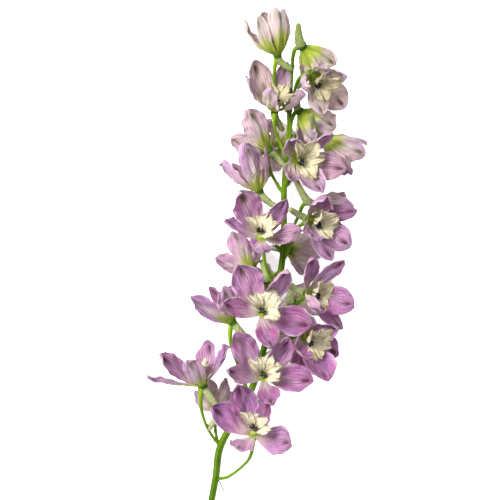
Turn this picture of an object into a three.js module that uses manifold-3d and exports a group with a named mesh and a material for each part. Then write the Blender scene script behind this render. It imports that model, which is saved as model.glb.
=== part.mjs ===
// Delphinium flower spike: a cut stem with twenty-six lilac blooms, lying on a flat surface.
// Units are millimetres. +Y runs from the cut end of the stem to its tip, +Z is up, and the
// surface that the spike lies on is Z = 0.

import * as THREE from 'three';
import { mergeVertices } from 'three/addons/utils/BufferGeometryUtils.js';
import Module from 'manifold-3d';

const wasm = await Module();
wasm.setup();

// ---- Driving sizes ---------------------------------------------------------------------

const SEPAL_THICKNESS = 0.75;
const BEE_PETAL_THICKNESS = 0.65;
const CLEARANCE = 0.35; // space left between two pieces that would touch
const RECEPTACLE_RADIUS = 2.6;
const RECEPTACLE_FRONT = 1;
const RECEPTACLE_BACK = 2.4;
const SEPAL_CLAW = 2.3; // width of a sepal where it leaves the receptacle
const SPUR_BASE_RADIUS = 2.4;
const SPUR_TIP_RADIUS = 1.6;
const SPUR_TAPER = 2; // above 1 a spur stays thick for longer
const SPUR_STATIONS = [0, 0.3, 0.65, 1];
const HIDDEN_SPUR_LENGTH = 13;
const PEDICEL_RADIUS = 0.72;
const PEDICEL_TOP_RADIUS = 1.4;
const BRACT_LENGTH = 11;
const BRACTEOLE_LENGTH = 8;

const SEPAL_FLATTENING = 0.5; // how much a sepal turns flat from standing on its edge

const SEPAL_STATIONS = [0, 0.22, 0.5, 0.8, 1]; // along a sepal, root to tip
const SEPAL_WIDTH_STEPS = 2;

// Main stem: x, y, z and radius, from the cut end to the aborted tip.
const STEM = [
  [-30.6, -158.4, 2.15, 2.15], [-28.8, -148.8, 3.4, 2.1], [-26.6, -136.8, 5.6, 2.05],
  [-24.2, -123.6, 8.6, 2.15], [-22.2, -108, 12.5, 2.3], [-16.2, -94.8, 15.6, 2.15],
  [-9, -81.6, 18.6, 2.1], [-2.1, -69.6, 21.2, 2.1], [5.1, -45, 26, 1.95],
  [10.8, -19.8, 29.3, 1.95], [16, 8.4, 31.6, 1.95], [16.8, 30, 32.5, 1.9],
  [16.8, 46.2, 33, 1.75], [18, 67.2, 33.3, 1.45], [19.6, 85.2, 33.6, 1.2],
  [19.6, 100.2, 34, 1.05], [21, 112.2, 35, 0.85], [22.2, 122.4, 36, 0.6],
];

// One sepal: where its tip is, how wide it is, how far it is turned about its own length in
// degrees, and how far its middle bows back from the line between root and tip.
const sepal = (x, y, z, width, turn = 0, bow = 2) => ({ tip: [x, y, z], width, turn, bow });

// The blooms, from the lowest up. `receptacle` is where the stalk ends and the sepals start,
// `faces` is the way that the open bloom looks, `spur` is the tip of its spur, and `stalk`
// is the route of its pedicel from the main stem. `bract` is the way that the bract at the
// foot of the pedicel hangs, where it isn't the usual one, and `bee` is how much longer than
// usual the petals of the bee are. A bloom with `ring` for sepals is seen from outside or lies
// underneath, and its five sepals spread evenly: the turn of the ring and its opening in
// degrees, then the length and width of its sepals. A bloom that is `under` faces the surface.
const BLOOMS = [
  { receptacle: [-1.4, -97, 35], faces: [0.05, 0.65, 0.76], spur: [3, -92, 18],
    stalk: [[-23.4, -125.4, 8.2], [-16.8, -124.2, 13], [-7.8, -117, 20], [-3, -109.8, 27]],
    bract: [0.4, -0.9, 0.2],
    sepals: [sepal(-10.8, -67.2, 41, 15.5), sepal(-26.4, -80.4, 40, 16, -5),
      sepal(-12, -104.4, 54, 13.5, 0, 3), sepal(21, -102, 44, 17, 10),
      sepal(8.4, -76, 48, 11, 0, 1)] },
  { receptacle: [-32.4, -67.2, 30], faces: [-0.42, 0.85, 0.3], spur: [-23.4, -80.4, 27],
    stalk: [[-22.2, -105, 13.2], [-28.8, -95.4, 19], [-32.7, -84, 25], [-33.3, -75, 28.5]],
    sepals: [sepal(-65.4, -63, 36, 10, 55, 1), sepal(-57.6, -49.2, 38, 13, -35, 3),
      sepal(-40.8, -52.2, 46, 11, 0, 2.5), sepal(-28, -41.5, 20, 14), sepal(-16.8, -43.8, 36, 9, -20)] },
  { receptacle: [-24, -82.8, 18.5], faces: [-0.1, 0.72, -0.68], spur: [-28.2, -94.8, 19],
    stalk: [[-22.8, -104.4, 13.2], [-24, -99, 14], [-24.6, -92.4, 15]],
    ring: { turn: 36, opening: 34, length: 20, width: 11 }, under: true },
  { receptacle: [4.4, -62.5, 42], faces: [0.05, 0.35, 0.93],
    stalk: [[-4.8, -84.6, 19.8], [1.2, -79.2, 26], [3.9, -72, 34]],
    sepals: [sepal(-12.6, -36.6, 50, 16, 0, 1.5), sepal(19.8, -39, 54, 12, 40, 1),
      sepal(-17.4, -58.2, 58, 11, -10), sepal(9.6, -78.6, 58, 13, 0, 2.5),
      sepal(34.2, -64.8, 48, 17, 0, 1.5)] },
  { receptacle: [-14.7, -29.4, 34], faces: [-0.6, 0.75, -0.15], spur: [-4.2, -41.4, 31],
    stalk: [[-4.2, -73.8, 20.6], [-9.6, -59.4, 26], [-14.4, -46.2, 30], [-15.6, -37.8, 33]],
    sepals: [sepal(-39, -15, 44, 11, -20, 1), sepal(-28.4, -9, 26, 8, -10),
      sepal(-16, -8.6, 22, 11), sepal(-20, -10, 47, 14, 0, 3), sepal(-37, -20, 22, 10)] },
  { receptacle: [3.8, -24, 46], faces: [0.05, 0.3, 0.95],
    stalk: [[6, -44.4, 26], [4.2, -39.6, 36], [3.6, -33.6, 42]],
    sepals: [sepal(-10.8, 4.8, 52, 18, 0, 1.5), sepal(18.6, 1.8, 56, 14, 40),
      sepal(-19.8, -18.6, 56, 11), sepal(9, -44.4, 60, 13, 0, 2.5), sepal(33, -32.4, 50, 17, 0, 1.5)] },
  { receptacle: [-3, 1.8, 28], faces: [-0.5, 0.6, -0.55], spur: [3.6, -9, 22],
    stalk: [[9, -34.8, 27.4], [3.6, -22.8, 24], [-1.2, -9.6, 26]],
    sepals: [sepal(-14.4, 24.6, 26, 13), sepal(-24.6, 8.4, 24, 10.5), sepal(1.2, 15.6, 32, 8.5, 25),
      sepal(-21, 6, -2, 13), sepal(1.2, 19.2, 6, 13)] },
  { receptacle: [3.4, 21, 44], faces: [-0.03, 0.6, 0.8],
    stalk: [[13.2, -15.6, 29.6], [8.7, -3, 34], [5.4, 5.4, 38]],
    sepals: [sepal(-9.6, 48.6, 50, 19, 0, 1.5), sepal(18, 43.2, 52, 11, 40, 1),
      sepal(-18.6, 31.2, 52, 10, 30, 1.5), sepal(27, 24.6, 54, 14, 0, 3), sepal(4.8, 12.6, 62, 13, 0, 3)] },
  { receptacle: [1.5, 49.8, 34], faces: [-0.35, 0.9, 0.25], spur: [13.2, 38.4, 37],
    stalk: [[15, 12, 31.6], [9.6, 20.4, 31], [3.6, 30, 31], [1.5, 40.8, 33]],
    sepals: [sepal(-6.6, 76.8, 46, 15, 0, 3), sepal(-21, 65.4, 38, 12, 35, 3),
      sepal(-14.5, 65, 17, 10, 0, 3), sepal(5, 74.4, 45, 10, 45, 3), sepal(5, 67, 18, 10, 0, 3)] },
  { receptacle: [7.2, 73.2, 33], faces: [-0.7, 0.65, -0.15], spur: [16.8, 64, 39],
    stalk: [[16.8, 45.6, 33], [15, 49.2, 33], [9.6, 58.2, 33], [7.4, 65.4, 33]],
    sepals: [sepal(-4.8, 97.2, 45, 14), sepal(-15, 80.4, 34, 12), sepal(-4, 68, 24, 9, 0, 1),
      sepal(8.5, 92, 30, 9, 30), sepal(-3, 87, 14, 12)] },
  { receptacle: [11.4, 97.8, 40], faces: [0.16, 0.76, 0.63], spur: [15.6, 85.8, 33],
    stalk: [[18, 69.6, 33.4], [13.8, 79.2, 34], [11.1, 87, 37]],
    sepals: [sepal(-1.5, 126.6, 40, 16, 0, 3), sepal(-5.5, 117, 52, 9, 30, 3),
      sepal(18.5, 126, 31, 10), sepal(28.8, 106.2, 56, 13), sepal(9.5, 108, 60, 13, 0, 4)] },
  { receptacle: [12.6, 130.8, 38], faces: [-0.2, 0.95, 0.2], spur: [21, 121.2, 41],
    stalk: [[18.9, 96, 33.8], [12.6, 107.4, 34], [10.8, 117.6, 36]],
    sepals: [sepal(-7.2, 150.6, 36, 9, 30, 4), sepal(1.4, 152.4, 48, 9.5, 0, 4),
      sepal(12, 157.8, 48, 13, 0, 4), sepal(16.6, 157.8, 34, 8, -40, 4), sepal(4.5, 156, 26, 11, 0, 4)] },
  { receptacle: [28.8, 133.2, 44], faces: [0.6, -0.66, -0.43], spur: [25.2, 147, 47],
    stalk: [[21, 106.2, 34.4], [21.6, 120, 38], [22.1, 129, 42], [24, 133.8, 45]],
    ring: { turn: 0, opening: 31, length: 21, width: 11 } },
  { receptacle: [34.2, 116.5, 50], faces: [0.48, -0.58, 0.66], spur: [25.5, 111, 35], bee: 1.2,
    stalk: [[19.5, 88.8, 33.6], [21.6, 100.8, 38], [24.6, 113.4, 45], [29.2, 117.6, 49]],
    sepals: [sepal(28.2, 109.2, 61, 12, 0, 3), sepal(54, 116, 56, 10), sepal(53.5, 98, 46, 16, 0, 3),
      sepal(40, 93.5, 53, 11), sepal(43.2, 118.8, 60, 10)] },
  { receptacle: [27, 95.4, 40], faces: [0.68, -0.66, -0.32], spur: [25.2, 105.6, 42],
    stalk: [[19.2, 75.6, 33.4], [20.4, 80.4, 35], [21.3, 90.6, 38], [24, 96, 40]],
    ring: { turn: 0, opening: 35, length: 23, width: 13.5 } },
  { receptacle: [41.4, 78.6, 41], faces: [0.8, -0.5, -0.2], spur: [33, 93, 55],
    stalk: [[17.1, 50.4, 33], [25.2, 60, 27], [33.6, 70.8, 31]],
    ring: { turn: 0, opening: 28, length: 26, width: 13 } },
  { receptacle: [24.6, 67.2, 50], faces: [0.4, -0.1, 0.9], bee: 1.15,
    stalk: [[17.4, 51.6, 33], [19.8, 58.8, 39], [22.2, 63.6, 45]],
    sepals: [sepal(19.2, 78.6, 62, 12, 0, 3), sepal(20.4, 54.6, 62, 10, 0, 3),
      sepal(45, 83.4, 56, 9, 35, 1), sepal(53.4, 60.6, 54, 16), sepal(39.6, 47.4, 58, 14)] },
  { receptacle: [32.5, 31, 46], faces: [0.7, -0.27, 0.66], spur: [20.4, 37.2, 54], bee: 1.15,
    stalk: [[17.1, 8.4, 31.6], [21, 16.8, 36], [24.6, 26.4, 41]],
    sepals: [sepal(42.6, 45, 58, 13, 0, 3), sepal(60, 36, 52, 10), sepal(56.4, 15.6, 50, 16),
      sepal(37.2, 18.6, 61, 11, 0, 3), sepal(45.5, 7, 44, 10, 20)] },
  { receptacle: [35.4, 40.2, 43], faces: [0.78, -0.28, -0.55], spur: [23.4, 55.2, 54],
    stalk: [[17.1, 12, 31.7], [22.8, 27.6, 39], [25.8, 34.8, 43], [28.8, 40.8, 46]],
    ring: { turn: 0, opening: 31, length: 23, width: 12 } },
  { receptacle: [31.5, -12.5, 44], faces: [0.76, -0.08, 0.64], spur: [18.3, -7.2, 44],
    stalk: [[10.2, -30, 28.2], [17.4, -26.4, 32], [23.4, -19.8, 38]],
    sepals: [sepal(33.6, 9, 50, 12.5, 0, 1.5), sepal(52.6, 7, 48, 10.5, 0, 1), sepal(58.2, -19.2, 53, 16),
      sepal(51.8, -34, 43, 8, 20, 1), sepal(39.4, -22.8, 60, 12, 0, 3)] },
  { receptacle: [22.2, -19.2, 20.5], faces: [0.45, -0.35, -0.8], spur: [22, -8, 27],
    stalk: [[12.6, -24, 28.8], [16.8, -22.8, 24]],
    ring: { turn: 0, opening: 48, length: 22, width: 13 }, under: true },
  { receptacle: [28.5, -38, 44], faces: [0.62, -0.42, 0.66], spur: [24, -27.6, 26], bee: 1.2,
    stalk: [[3.6, -53.4, 24.4], [11.4, -49.8, 32], [16.8, -43.2, 39], [22.5, -38.4, 43]],
    sepals: [sepal(49.2, -33.6, 52, 11), sepal(30, -51.6, 58, 11, 0, 3), sepal(43.2, -64.8, 50, 18),
      sepal(49.5, -49.5, 37, 14), sepal(27.6, -61.8, 38, 12)] },
  { receptacle: [12.6, -46.8, 18], faces: [0.5, -0.4, -0.8], spur: [16, -36, 26],
    stalk: [[3.6, -51, 24.8], [7.2, -49.2, 22]],
    ring: { turn: 20, opening: 48, length: 22, width: 13 }, under: true },
  { receptacle: [20.5, 13, 24], faces: [0.8, -0.15, -0.58], spur: [9.5, 14.5, 23],
    stalk: [[16.8, 19.2, 32], [19.2, 16.2, 27]],
    ring: { turn: 0, opening: 36, length: 22, width: 13 }, under: true },
  { receptacle: [5.5, -5, 21.5], faces: [-0.3, -0.15, -0.9], spur: [4, 6, 27],
    stalk: [[14.6, 0.5, 30.6], [11, -1.5, 26]],
    ring: { turn: 30, opening: 42, length: 21, width: 12.5 }, under: true },
  { receptacle: [16.5, 76, 16.2], faces: [-0.1, -0.08, -1], spur: [27, 84, 27],
    stalk: [[18, 68.4, 33.3], [16.2, 70.2, 26]],
    ring: { turn: 0, opening: 50, length: 22, width: 13 }, under: true },
];

// ---- Colours and finishes --------------------------------------------------------------

const GREEN = { color: 0x5a7a1c, roughness: 0.55, metalness: 0 };
const LILAC = { color: 0xb98ab2, roughness: 0.6, metalness: 0 };
const CREAM = { color: 0xddceb0, roughness: 0.65, metalness: 0 };

// ---- Helpers ---------------------------------------------------------------------------

const vector = ([x, y, z]) => new THREE.Vector3(x, y, z);
const radians = THREE.MathUtils.degToRad;

// Seeded random numbers from 0 to 1, one stream for each bloom.
function randomStream(seed) {
  let state = seed * 7919 + 17;
  return () => {
    state = (state * 1664525 + 1013904223) % 4294967296;
    return state / 4294967296;
  };
}

// Height of a petal above the surface: what would hang lower lies flat on it.
function pressed(z) {
  const floor = 0.2;
  const softness = 1.2;
  const above = z - floor;
  return floor + (above + Math.hypot(above, softness)) / 2;
}

// A closed geometry from rings of points, each with the same number, capped at both ends.
function geometryFromRings(rings) {
  const count = rings[0].length;
  const positions = rings.flat().flatMap((p) => [p.x, p.y, Math.max(p.z, 0)]);
  const index = [];
  for (let r = 0; r + 1 < rings.length; r++) {
    for (let k = 0; k < count; k++) {
      const a = r * count + k;
      const b = r * count + ((k + 1) % count);
      index.push(a, b, a + count, b, b + count, a + count);
    }
  }
  const last = (rings.length - 1) * count;
  for (let k = 1; k + 1 < count; k++) {
    index.push(0, k + 1, k, last, last + k, last + k + 1);
  }
  return indexedGeometry(positions, index);
}

function indexedGeometry(positions, index) {
  const geometry = new THREE.BufferGeometry();
  geometry.setAttribute('position', new THREE.Float32BufferAttribute(positions, 3));
  geometry.setIndex(index);
  return geometry;
}

// A round rod along a smooth curve through points. radiusAt(t) gives its radius.
function rodGeometry(points, radiusAt, steps, sides) {
  const curve = new THREE.CatmullRomCurve3(points, false, 'centripetal');
  const frames = curve.computeFrenetFrames(steps, false);
  const rings = [];
  for (let i = 0; i <= steps; i++) {
    const centre = curve.getPointAt(i / steps);
    const ring = [];
    for (let k = 0; k < sides; k++) {
      const angle = (2 * Math.PI * k) / sides;
      const radius = radiusAt(i / steps, k);
      ring.push(centre.clone()
        .addScaledVector(frames.normals[i], radius * Math.cos(angle))
        .addScaledVector(frames.binormals[i], radius * Math.sin(angle)));
    }
    rings.push(ring);
  }
  return geometryFromRings(rings);
}

function signedVolume(positions, index) {
  const [a, b, c] = [new THREE.Vector3(), new THREE.Vector3(), new THREE.Vector3()];
  let sum = 0;
  for (let k = 0; k < index.length; k += 3) {
    a.fromArray(positions, 3 * index[k]);
    b.fromArray(positions, 3 * index[k + 1]);
    c.fromArray(positions, 3 * index[k + 2]);
    sum += a.dot(b.cross(c));
  }
  return sum / 6;
}

// A solid for joining and cutting, with its faces turned outwards.
function solidFrom(geometry) {
  geometry.deleteAttribute('normal');
  geometry.deleteAttribute('uv');
  const merged = mergeVertices(geometry, 1e-4);
  const vertProperties = new Float32Array(merged.attributes.position.array);
  const triVerts = new Uint32Array(merged.index.array);
  if (signedVolume(vertProperties, triVerts) < 0) {
    for (let k = 0; k < triVerts.length; k += 3) {
      [triVerts[k], triVerts[k + 1]] = [triVerts[k + 1], triVerts[k]];
    }
  }
  return new wasm.Manifold(new wasm.Mesh({ numProp: 3, vertProperties, triVerts }));
}

const joined = (solids) => solids.reduce((whole, next) => whole.add(next));

// The largest connected piece. It drops loose scraps, and fills what joining sealed off.
function largestPiece(solid) {
  const pieces = solid.decompose();
  return pieces.reduce((best, piece) => (piece.volume() > best.volume() ? piece : best));
}

function meshFrom(name, solid, finish) {
  const { vertProperties, triVerts } = solid.simplify(0.02).getMesh();
  const geometry = indexedGeometry(Array.from(vertProperties), Array.from(triVerts));
  geometry.computeVertexNormals();
  const mesh = new THREE.Mesh(geometry, new THREE.MeshStandardMaterial(finish));
  mesh.name = name;
  return mesh;
}

// ---- Sepals ----------------------------------------------------------------------------

// Half-width along a sepal as a share of its full half-width: a narrow claw at the root, the
// widest place past the middle, and a blunt point.
function sepalOutline(u) {
  const belly = Math.sin(Math.PI * THREE.MathUtils.clamp(u, 0, 1) ** 1.45) ** 0.85;
  return 0.1 * u + 0.9 * belly;
}

// The sepals of a bloom in order round it. Their roots stand evenly on the receptacle, each
// in the slot that is nearest to the way that its tip lies.
function sepalsInSlots(bloom) {
  const faces = vector(bloom.faces).normalize();
  const upward = new THREE.Vector3(0, 1, 0).addScaledVector(faces, -faces.y).normalize();
  const across = faces.clone().cross(upward);
  const receptacle = vector(bloom.receptacle);
  const placed = bloomSepals(bloom).map((blade) => {
    const reach = vector(blade.tip).sub(receptacle);
    return { blade, azimuth: Math.atan2(reach.dot(across), reach.dot(upward)) };
  }).sort((p, q) => p.azimuth - q.azimuth);
  const spacing = (2 * Math.PI) / placed.length;
  const drift = placed.map(({ azimuth }, k) => azimuth - k * spacing);
  const start = drift.reduce((sum, angle) => sum + angle, 0) / placed.length;
  return placed.map(({ blade }, k) => ({
    blade,
    outward: upward.clone().applyAxisAngle(faces, start + k * spacing),
  }));
}

// The surface of one sepal. `grow` makes it longer and wider, for the space round it.
function sepalSurface(bloom, { blade, outward }, random, grow) {
  const faces = vector(bloom.faces).normalize();
  const receptacle = vector(bloom.receptacle);
  const root = receptacle.clone().addScaledVector(outward, RECEPTACLE_RADIUS + grow);
  const chord = vector(blade.tip).sub(root);
  const length = chord.length() + grow;
  const direction = chord.normalize();
  const inward = faces.clone().addScaledVector(direction, -faces.dot(direction)).normalize();
  if (!bloom.ring) {
    inward.z += inward.z > 0 ? SEPAL_FLATTENING : -SEPAL_FLATTENING;
    inward.addScaledVector(direction, -inward.dot(direction)).normalize();
  }
  inward.applyAxisAngle(direction, radians(blade.turn));
  const side = inward.clone().cross(direction);
  const opening = Math.max(direction.angleTo(faces), radians(35));
  const rootInward = faces.clone().multiplyScalar(Math.sin(opening))
    .addScaledVector(outward, -Math.cos(opening));
  const rootSide = faces.clone().cross(outward);
  const phase = [random() * 6.28, random() * 6.28];
  const cup = 0.1 + 0.12 * random();
  return (u, v) => {
    const turned = THREE.MathUtils.smoothstep(u, 0, 0.45);
    const acrossNow = rootSide.clone().lerp(side, turned).normalize();
    const inwardNow = rootInward.clone().lerp(inward, turned).normalize();
    const half = (blade.width / 2) * sepalOutline(u) + (SEPAL_CLAW / 2) * (1 - u) + grow;
    const wave = 0.07 * blade.width * u * v * v * Math.sin(7.5 * u + phase[v > 0 ? 1 : 0]);
    const lift = cup * blade.width * v * v * sepalOutline(u) + wave - blade.bow * 4 * u * (1 - u);
    const point = root.clone()
      .addScaledVector(direction, length * u)
      .addScaledVector(acrossNow, half * v)
      .addScaledVector(inwardNow, lift);
    point.z = pressed(point.z);
    return point;
  };
}

// The two faces of a blade as rows of points: rows[layer][station][column].
function bladeRows(surface, stations, widthSteps, thickness) {
  const step = 1e-3;
  return [0.5, -0.5].map((side) => stations.map((u) => {
    const row = [];
    for (let j = 0; j <= widthSteps; j++) {
      const v = (2 * j) / widthSteps - 1;
      const inside = Math.min(u, 0.92); // the tip takes the slope just behind it
      const along = surface(inside + step, v).sub(surface(inside - step, v));
      const across = surface(inside, v + step).sub(surface(inside, v - step));
      const normal = along.cross(across).normalize();
      const point = surface(u, v).addScaledVector(normal, side * thickness);
      point.z = Math.max(point.z, 0);
      row.push(point);
    }
    return row;
  }));
}

// Sepals and receptacle of one bloom as one closed surface. The root of each sepal opens
// into the receptacle, whose front and back are fans round a middle point.
function corollaGeometry(bloom, seed, grow) {
  const random = randomStream(seed);
  const faces = vector(bloom.faces).normalize();
  const receptacle = vector(bloom.receptacle);
  const points = [receptacle.clone().addScaledVector(faces, RECEPTACLE_FRONT + grow)];
  const index = [];
  const columns = SEPAL_WIDTH_STEPS + 1;
  const stations = SEPAL_STATIONS.length;
  const layer = stations * columns;
  const slots = sepalsInSlots(bloom);
  const spurStart = 1 + 2 * layer * slots.length;
  slots.forEach((slot, k) => {
    const surface = sepalSurface(bloom, slot, random, grow);
    const rows = bladeRows(surface, SEPAL_STATIONS, SEPAL_WIDTH_STEPS, SEPAL_THICKNESS + 2 * grow);
    points.push(...rows.flat(2));
    const first = 1 + 2 * layer * k;
    const next = 1 + 2 * layer * ((k + 1) % slots.length);
    for (let i = 0; i + 1 < stations; i++) {
      for (let j = 0; j + 1 < columns; j++) {
        const a = first + i * columns + j;
        index.push(a, a + 1, a + columns, a + 1, a + columns + 1, a + columns);
        index.push(a + layer, a + columns + layer, a + 1 + layer);
        index.push(a + 1 + layer, a + columns + layer, a + columns + 1 + layer);
      }
    }
    const rim = [];
    for (let i = 0; i < stations; i++) rim.push(first + i * columns + columns - 1);
    for (let j = columns - 2; j >= 0; j--) rim.push(first + (stations - 1) * columns + j);
    for (let i = stations - 2; i >= 0; i--) rim.push(first + i * columns);
    for (let r = 0; r + 1 < rim.length; r++) {
      index.push(rim[r], rim[r] + layer, rim[r + 1]);
      index.push(rim[r + 1], rim[r] + layer, rim[r + 1] + layer);
    }
    const spur = spurStart + k;
    const nextSpur = spurStart + ((k + 1) % slots.length);
    for (let j = 0; j + 1 < columns; j++) {
      index.push(0, first + j + 1, first + j, spur, first + j + layer, first + j + 1 + layer);
    }
    const [left, right] = [first + columns - 1, next];
    index.push(0, right, left, spur, left + layer, nextSpur, nextSpur, left + layer, right + layer);
    index.push(left, right, left + layer, right, right + layer, left + layer);
  });
  const rings = spurRings(bloom, slots, grow);
  points.push(...rings.flat());
  const sides = slots.length;
  for (let r = 0; r + 1 < rings.length; r++) {
    for (let k = 0; k < sides; k++) {
      const a = spurStart + r * sides + k;
      const b = spurStart + r * sides + ((k + 1) % sides);
      index.push(a, b, a + sides, b, b + sides, a + sides);
    }
  }
  const end = spurStart + (rings.length - 1) * sides;
  for (let k = 1; k + 1 < sides; k++) index.push(end, end + k, end + k + 1);
  const positions = points.flatMap((p) => [p.x, p.y, p.z]);
  return indexedGeometry(positions, index);
}

const bloomSepals = (bloom) => bloom.sepals ?? ringSepals(bloom);

// A ring of five even sepals, each turned a little so that its edge lies over the next.
const RING_TILT = 14;

function ringSepals(bloom) {
  const { turn, opening, length, width } = bloom.ring;
  const faces = vector(bloom.faces).normalize();
  const start = new THREE.Vector3(0, 1, 0).addScaledVector(faces, -faces.y).normalize();
  return [0, 1, 2, 3, 4].map((k) => {
    const outward = start.clone().applyAxisAngle(faces, radians(turn + 72 * k));
    const tip = vector(bloom.receptacle)
      .addScaledVector(outward, length * Math.sin(radians(opening)))
      .addScaledVector(faces, length * Math.cos(radians(opening)));
    return sepal(tip.x, tip.y, tip.z, width, RING_TILT);
  });
}

// Where the spur ends. One that is out of sight stands off the upper side of its bloom.
function spurTip(bloom) {
  if (bloom.spur) return vector(bloom.spur);
  const faces = vector(bloom.faces).normalize();
  const upward = new THREE.Vector3(0, 1, 0).addScaledVector(faces, -faces.y).normalize();
  return vector(bloom.receptacle)
    .addScaledVector(upward, HIDDEN_SPUR_LENGTH * 0.85)
    .addScaledVector(faces, -HIDDEN_SPUR_LENGTH * 0.5);
}

// Rings of points along the spur, one point for each sepal's slot, from the receptacle out.
function spurRings(bloom, slots, grow) {
  const faces = vector(bloom.faces).normalize();
  const start = vector(bloom.receptacle).addScaledVector(faces, -RECEPTACLE_BACK);
  const tip = spurTip(bloom);
  const bend = start.clone().addScaledVector(faces, -0.3 * start.distanceTo(tip));
  const curve = new THREE.QuadraticBezierCurve3(start, bend, tip);
  const turn = new THREE.Quaternion();
  return SPUR_STATIONS.map((t) => {
    turn.setFromUnitVectors(faces.clone().negate(), curve.getTangent(t));
    const radius = THREE.MathUtils.lerp(SPUR_BASE_RADIUS, SPUR_TIP_RADIUS, t ** SPUR_TAPER) + grow;
    const centre = curve.getPoint(t);
    if (t === 1) centre.addScaledVector(curve.getTangent(1), grow);
    return slots.map(({ outward }) => centre.clone()
      .addScaledVector(outward.clone().applyQuaternion(turn), radius));
  });
}

// Sepals, receptacle and spur of one bloom in one solid. With grow, the space that they need.
const bloomSolid = (bloom, seed, grow) => solidFrom(corollaGeometry(bloom, seed, grow));

// ---- Bees ------------------------------------------------------------------------------

const BEE_START = 3.1; // in front of the receptacle's centre
const BEE_HUB_RADIUS = 1.3;
const BEE_FLOOR = 4.6; // where the petals leave the hub
const ANTHER_TIP = 8.4;
// How far each petal reaches: left, upper, right and lower right, as the bloom hangs.
const BEE_REACH = [12.5, 13, 12, 12];
const BEE_TURN = [64, -8, -52, -104]; // of each petal from the upper side, in degrees
const BEE_PETAL_SPREAD = 20; // from the middle of a petal to its shoulders, in degrees
const DEEP_NOTCH = 0.35; // of a petal's reach, between two petals that stand apart
const LOW_NOTCH = 0.78; // and between two that touch
const SHORT_SHOULDER = 0.94; // one shoulder of a petal, as a share of the other
const BEE_RUFFLE = 2.4; // how far apart in height the shoulders may end
const NOTCH_RUFFLE = 0.4; // the share of it by which every notch stands up
const BEE_LEAN = 0.35; // to the right, of the upper side of a bee that faces front
const SIDE_LEAN = 1.6; // and how much more for a bloom that faces right

// A ruffled cream cup of four petals round a knob of anthers, closed in one body. Two
// shoulders and a notch for each petal stand round it.
function beeGeometry(bloom, seed) {
  const random = randomStream(seed + 100);
  const faces = vector(bloom.faces).normalize();
  const upward = vector([BEE_LEAN + SIDE_LEAN * Math.max(0, faces.x - 0.1), 1, 0]);
  upward.addScaledVector(faces, -upward.dot(faces)).normalize();
  const splay = beeSplay(bloom);
  const petals = BEE_TURN.map((turn, k) => ({ turn, reach: BEE_REACH[k] * (bloom.bee ?? 1) }));
  const ringPoints = [];
  petals.sort((a, b) => a.turn - b.turn).forEach((petal, k) => {
    const next = petals[(k + 1) % 4];
    const gap = ((next.turn - petal.turn + 360) % 360) / 2;
    const notch = gap < 1.5 * BEE_PETAL_SPREAD ? LOW_NOTCH : DEEP_NOTCH;
    ringPoints.push(
      { turn: petal.turn - BEE_PETAL_SPREAD, reach: petal.reach, ruffle: random() - 0.5 },
      { turn: petal.turn + BEE_PETAL_SPREAD, reach: petal.reach * SHORT_SHOULDER, ruffle: random() - 0.5 },
      { turn: petal.turn + gap, reach: notch * petal.reach, ruffle: NOTCH_RUFFLE },
    );
  });
  const centre = vector(bloom.receptacle);
  const ring = (share, below) => ringPoints.map(({ turn, reach, ruffle }) => {
    const outward = upward.clone().applyAxisAngle(faces, radians(turn));
    const out = BEE_HUB_RADIUS + share * (reach - BEE_HUB_RADIUS) * Math.sin(splay);
    const rise = BEE_FLOOR + share * reach * Math.cos(splay) + share * ruffle * BEE_RUFFLE - below;
    return centre.clone().addScaledVector(outward, out).addScaledVector(faces, rise);
  });
  const plain = (radius, height) => ringPoints.map(({ turn }) => centre.clone()
    .addScaledVector(upward.clone().applyAxisAngle(faces, radians(turn)), radius)
    .addScaledVector(faces, height));
  const wall = BEE_PETAL_THICKNESS / Math.sin(splay);
  return geometryFromRings([plain(0.5, ANTHER_TIP), plain(0.95, BEE_FLOOR + 0.5),
    ring(1, 0), ring(1, wall), plain(BEE_HUB_RADIUS, BEE_START)]);
}

// How far the bee opens from the way that the bloom faces: a little less than the sepals do.
function beeSplay(bloom) {
  const faces = vector(bloom.faces).normalize();
  const receptacle = vector(bloom.receptacle);
  const openings = bloomSepals(bloom).map((blade) => vector(blade.tip).sub(receptacle).angleTo(faces));
  const mean = openings.reduce((sum, opening) => sum + opening, 0) / openings.length;
  return THREE.MathUtils.clamp(0.8 * mean, radians(18), radians(58));
}

// ---- Stem ------------------------------------------------------------------------------

const STEM_SIDES = 8;
const STEM_RIB = 0.06; // share of the radius that every second edge stands proud

function mainStemSolid() {
  const points = STEM.map(([x, y, z]) => new THREE.Vector3(x, y, z));
  const curve = new THREE.CatmullRomCurve3(points, false, 'centripetal');
  const steps = STEM.length - 1;
  const rings = points.map((centre, i) => {
    const tangent = curve.getTangent(i / steps);
    const across = new THREE.Vector3(0, 0, 1).cross(tangent).normalize();
    const upward = tangent.clone().cross(across);
    return Array.from({ length: STEM_SIDES }, (_, k) => {
      const angle = (2 * Math.PI * (k + 0.5)) / STEM_SIDES;
      const radius = STEM[i][3] * (1 + (k % 2 ? STEM_RIB : -STEM_RIB));
      return centre.clone()
        .addScaledVector(across, radius * Math.cos(angle))
        .addScaledVector(upward, radius * Math.sin(angle));
    });
  });
  return solidFrom(geometryFromRings(rings));
}

// A pedicel from inside the main stem to just inside the receptacle.
function pedicelSolid(bloom) {
  const points = [...bloom.stalk, bloom.receptacle].map(vector);
  const radiusAt = (t) => THREE.MathUtils.lerp(PEDICEL_RADIUS, PEDICEL_TOP_RADIUS, t ** 4);
  return solidFrom(rodGeometry(points, radiusAt, points.length, 5));
}

// A leafy scale that stands off a stalk: a thin spindle from start, along direction.
function scaleSolid(start, direction, length, radius) {
  const end = start.clone().addScaledVector(direction, length);
  const radiusAt = (t) => radius * (1 - 0.6 * t * t);
  return solidFrom(rodGeometry([start, end], radiusAt, 1, 3));
}

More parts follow.
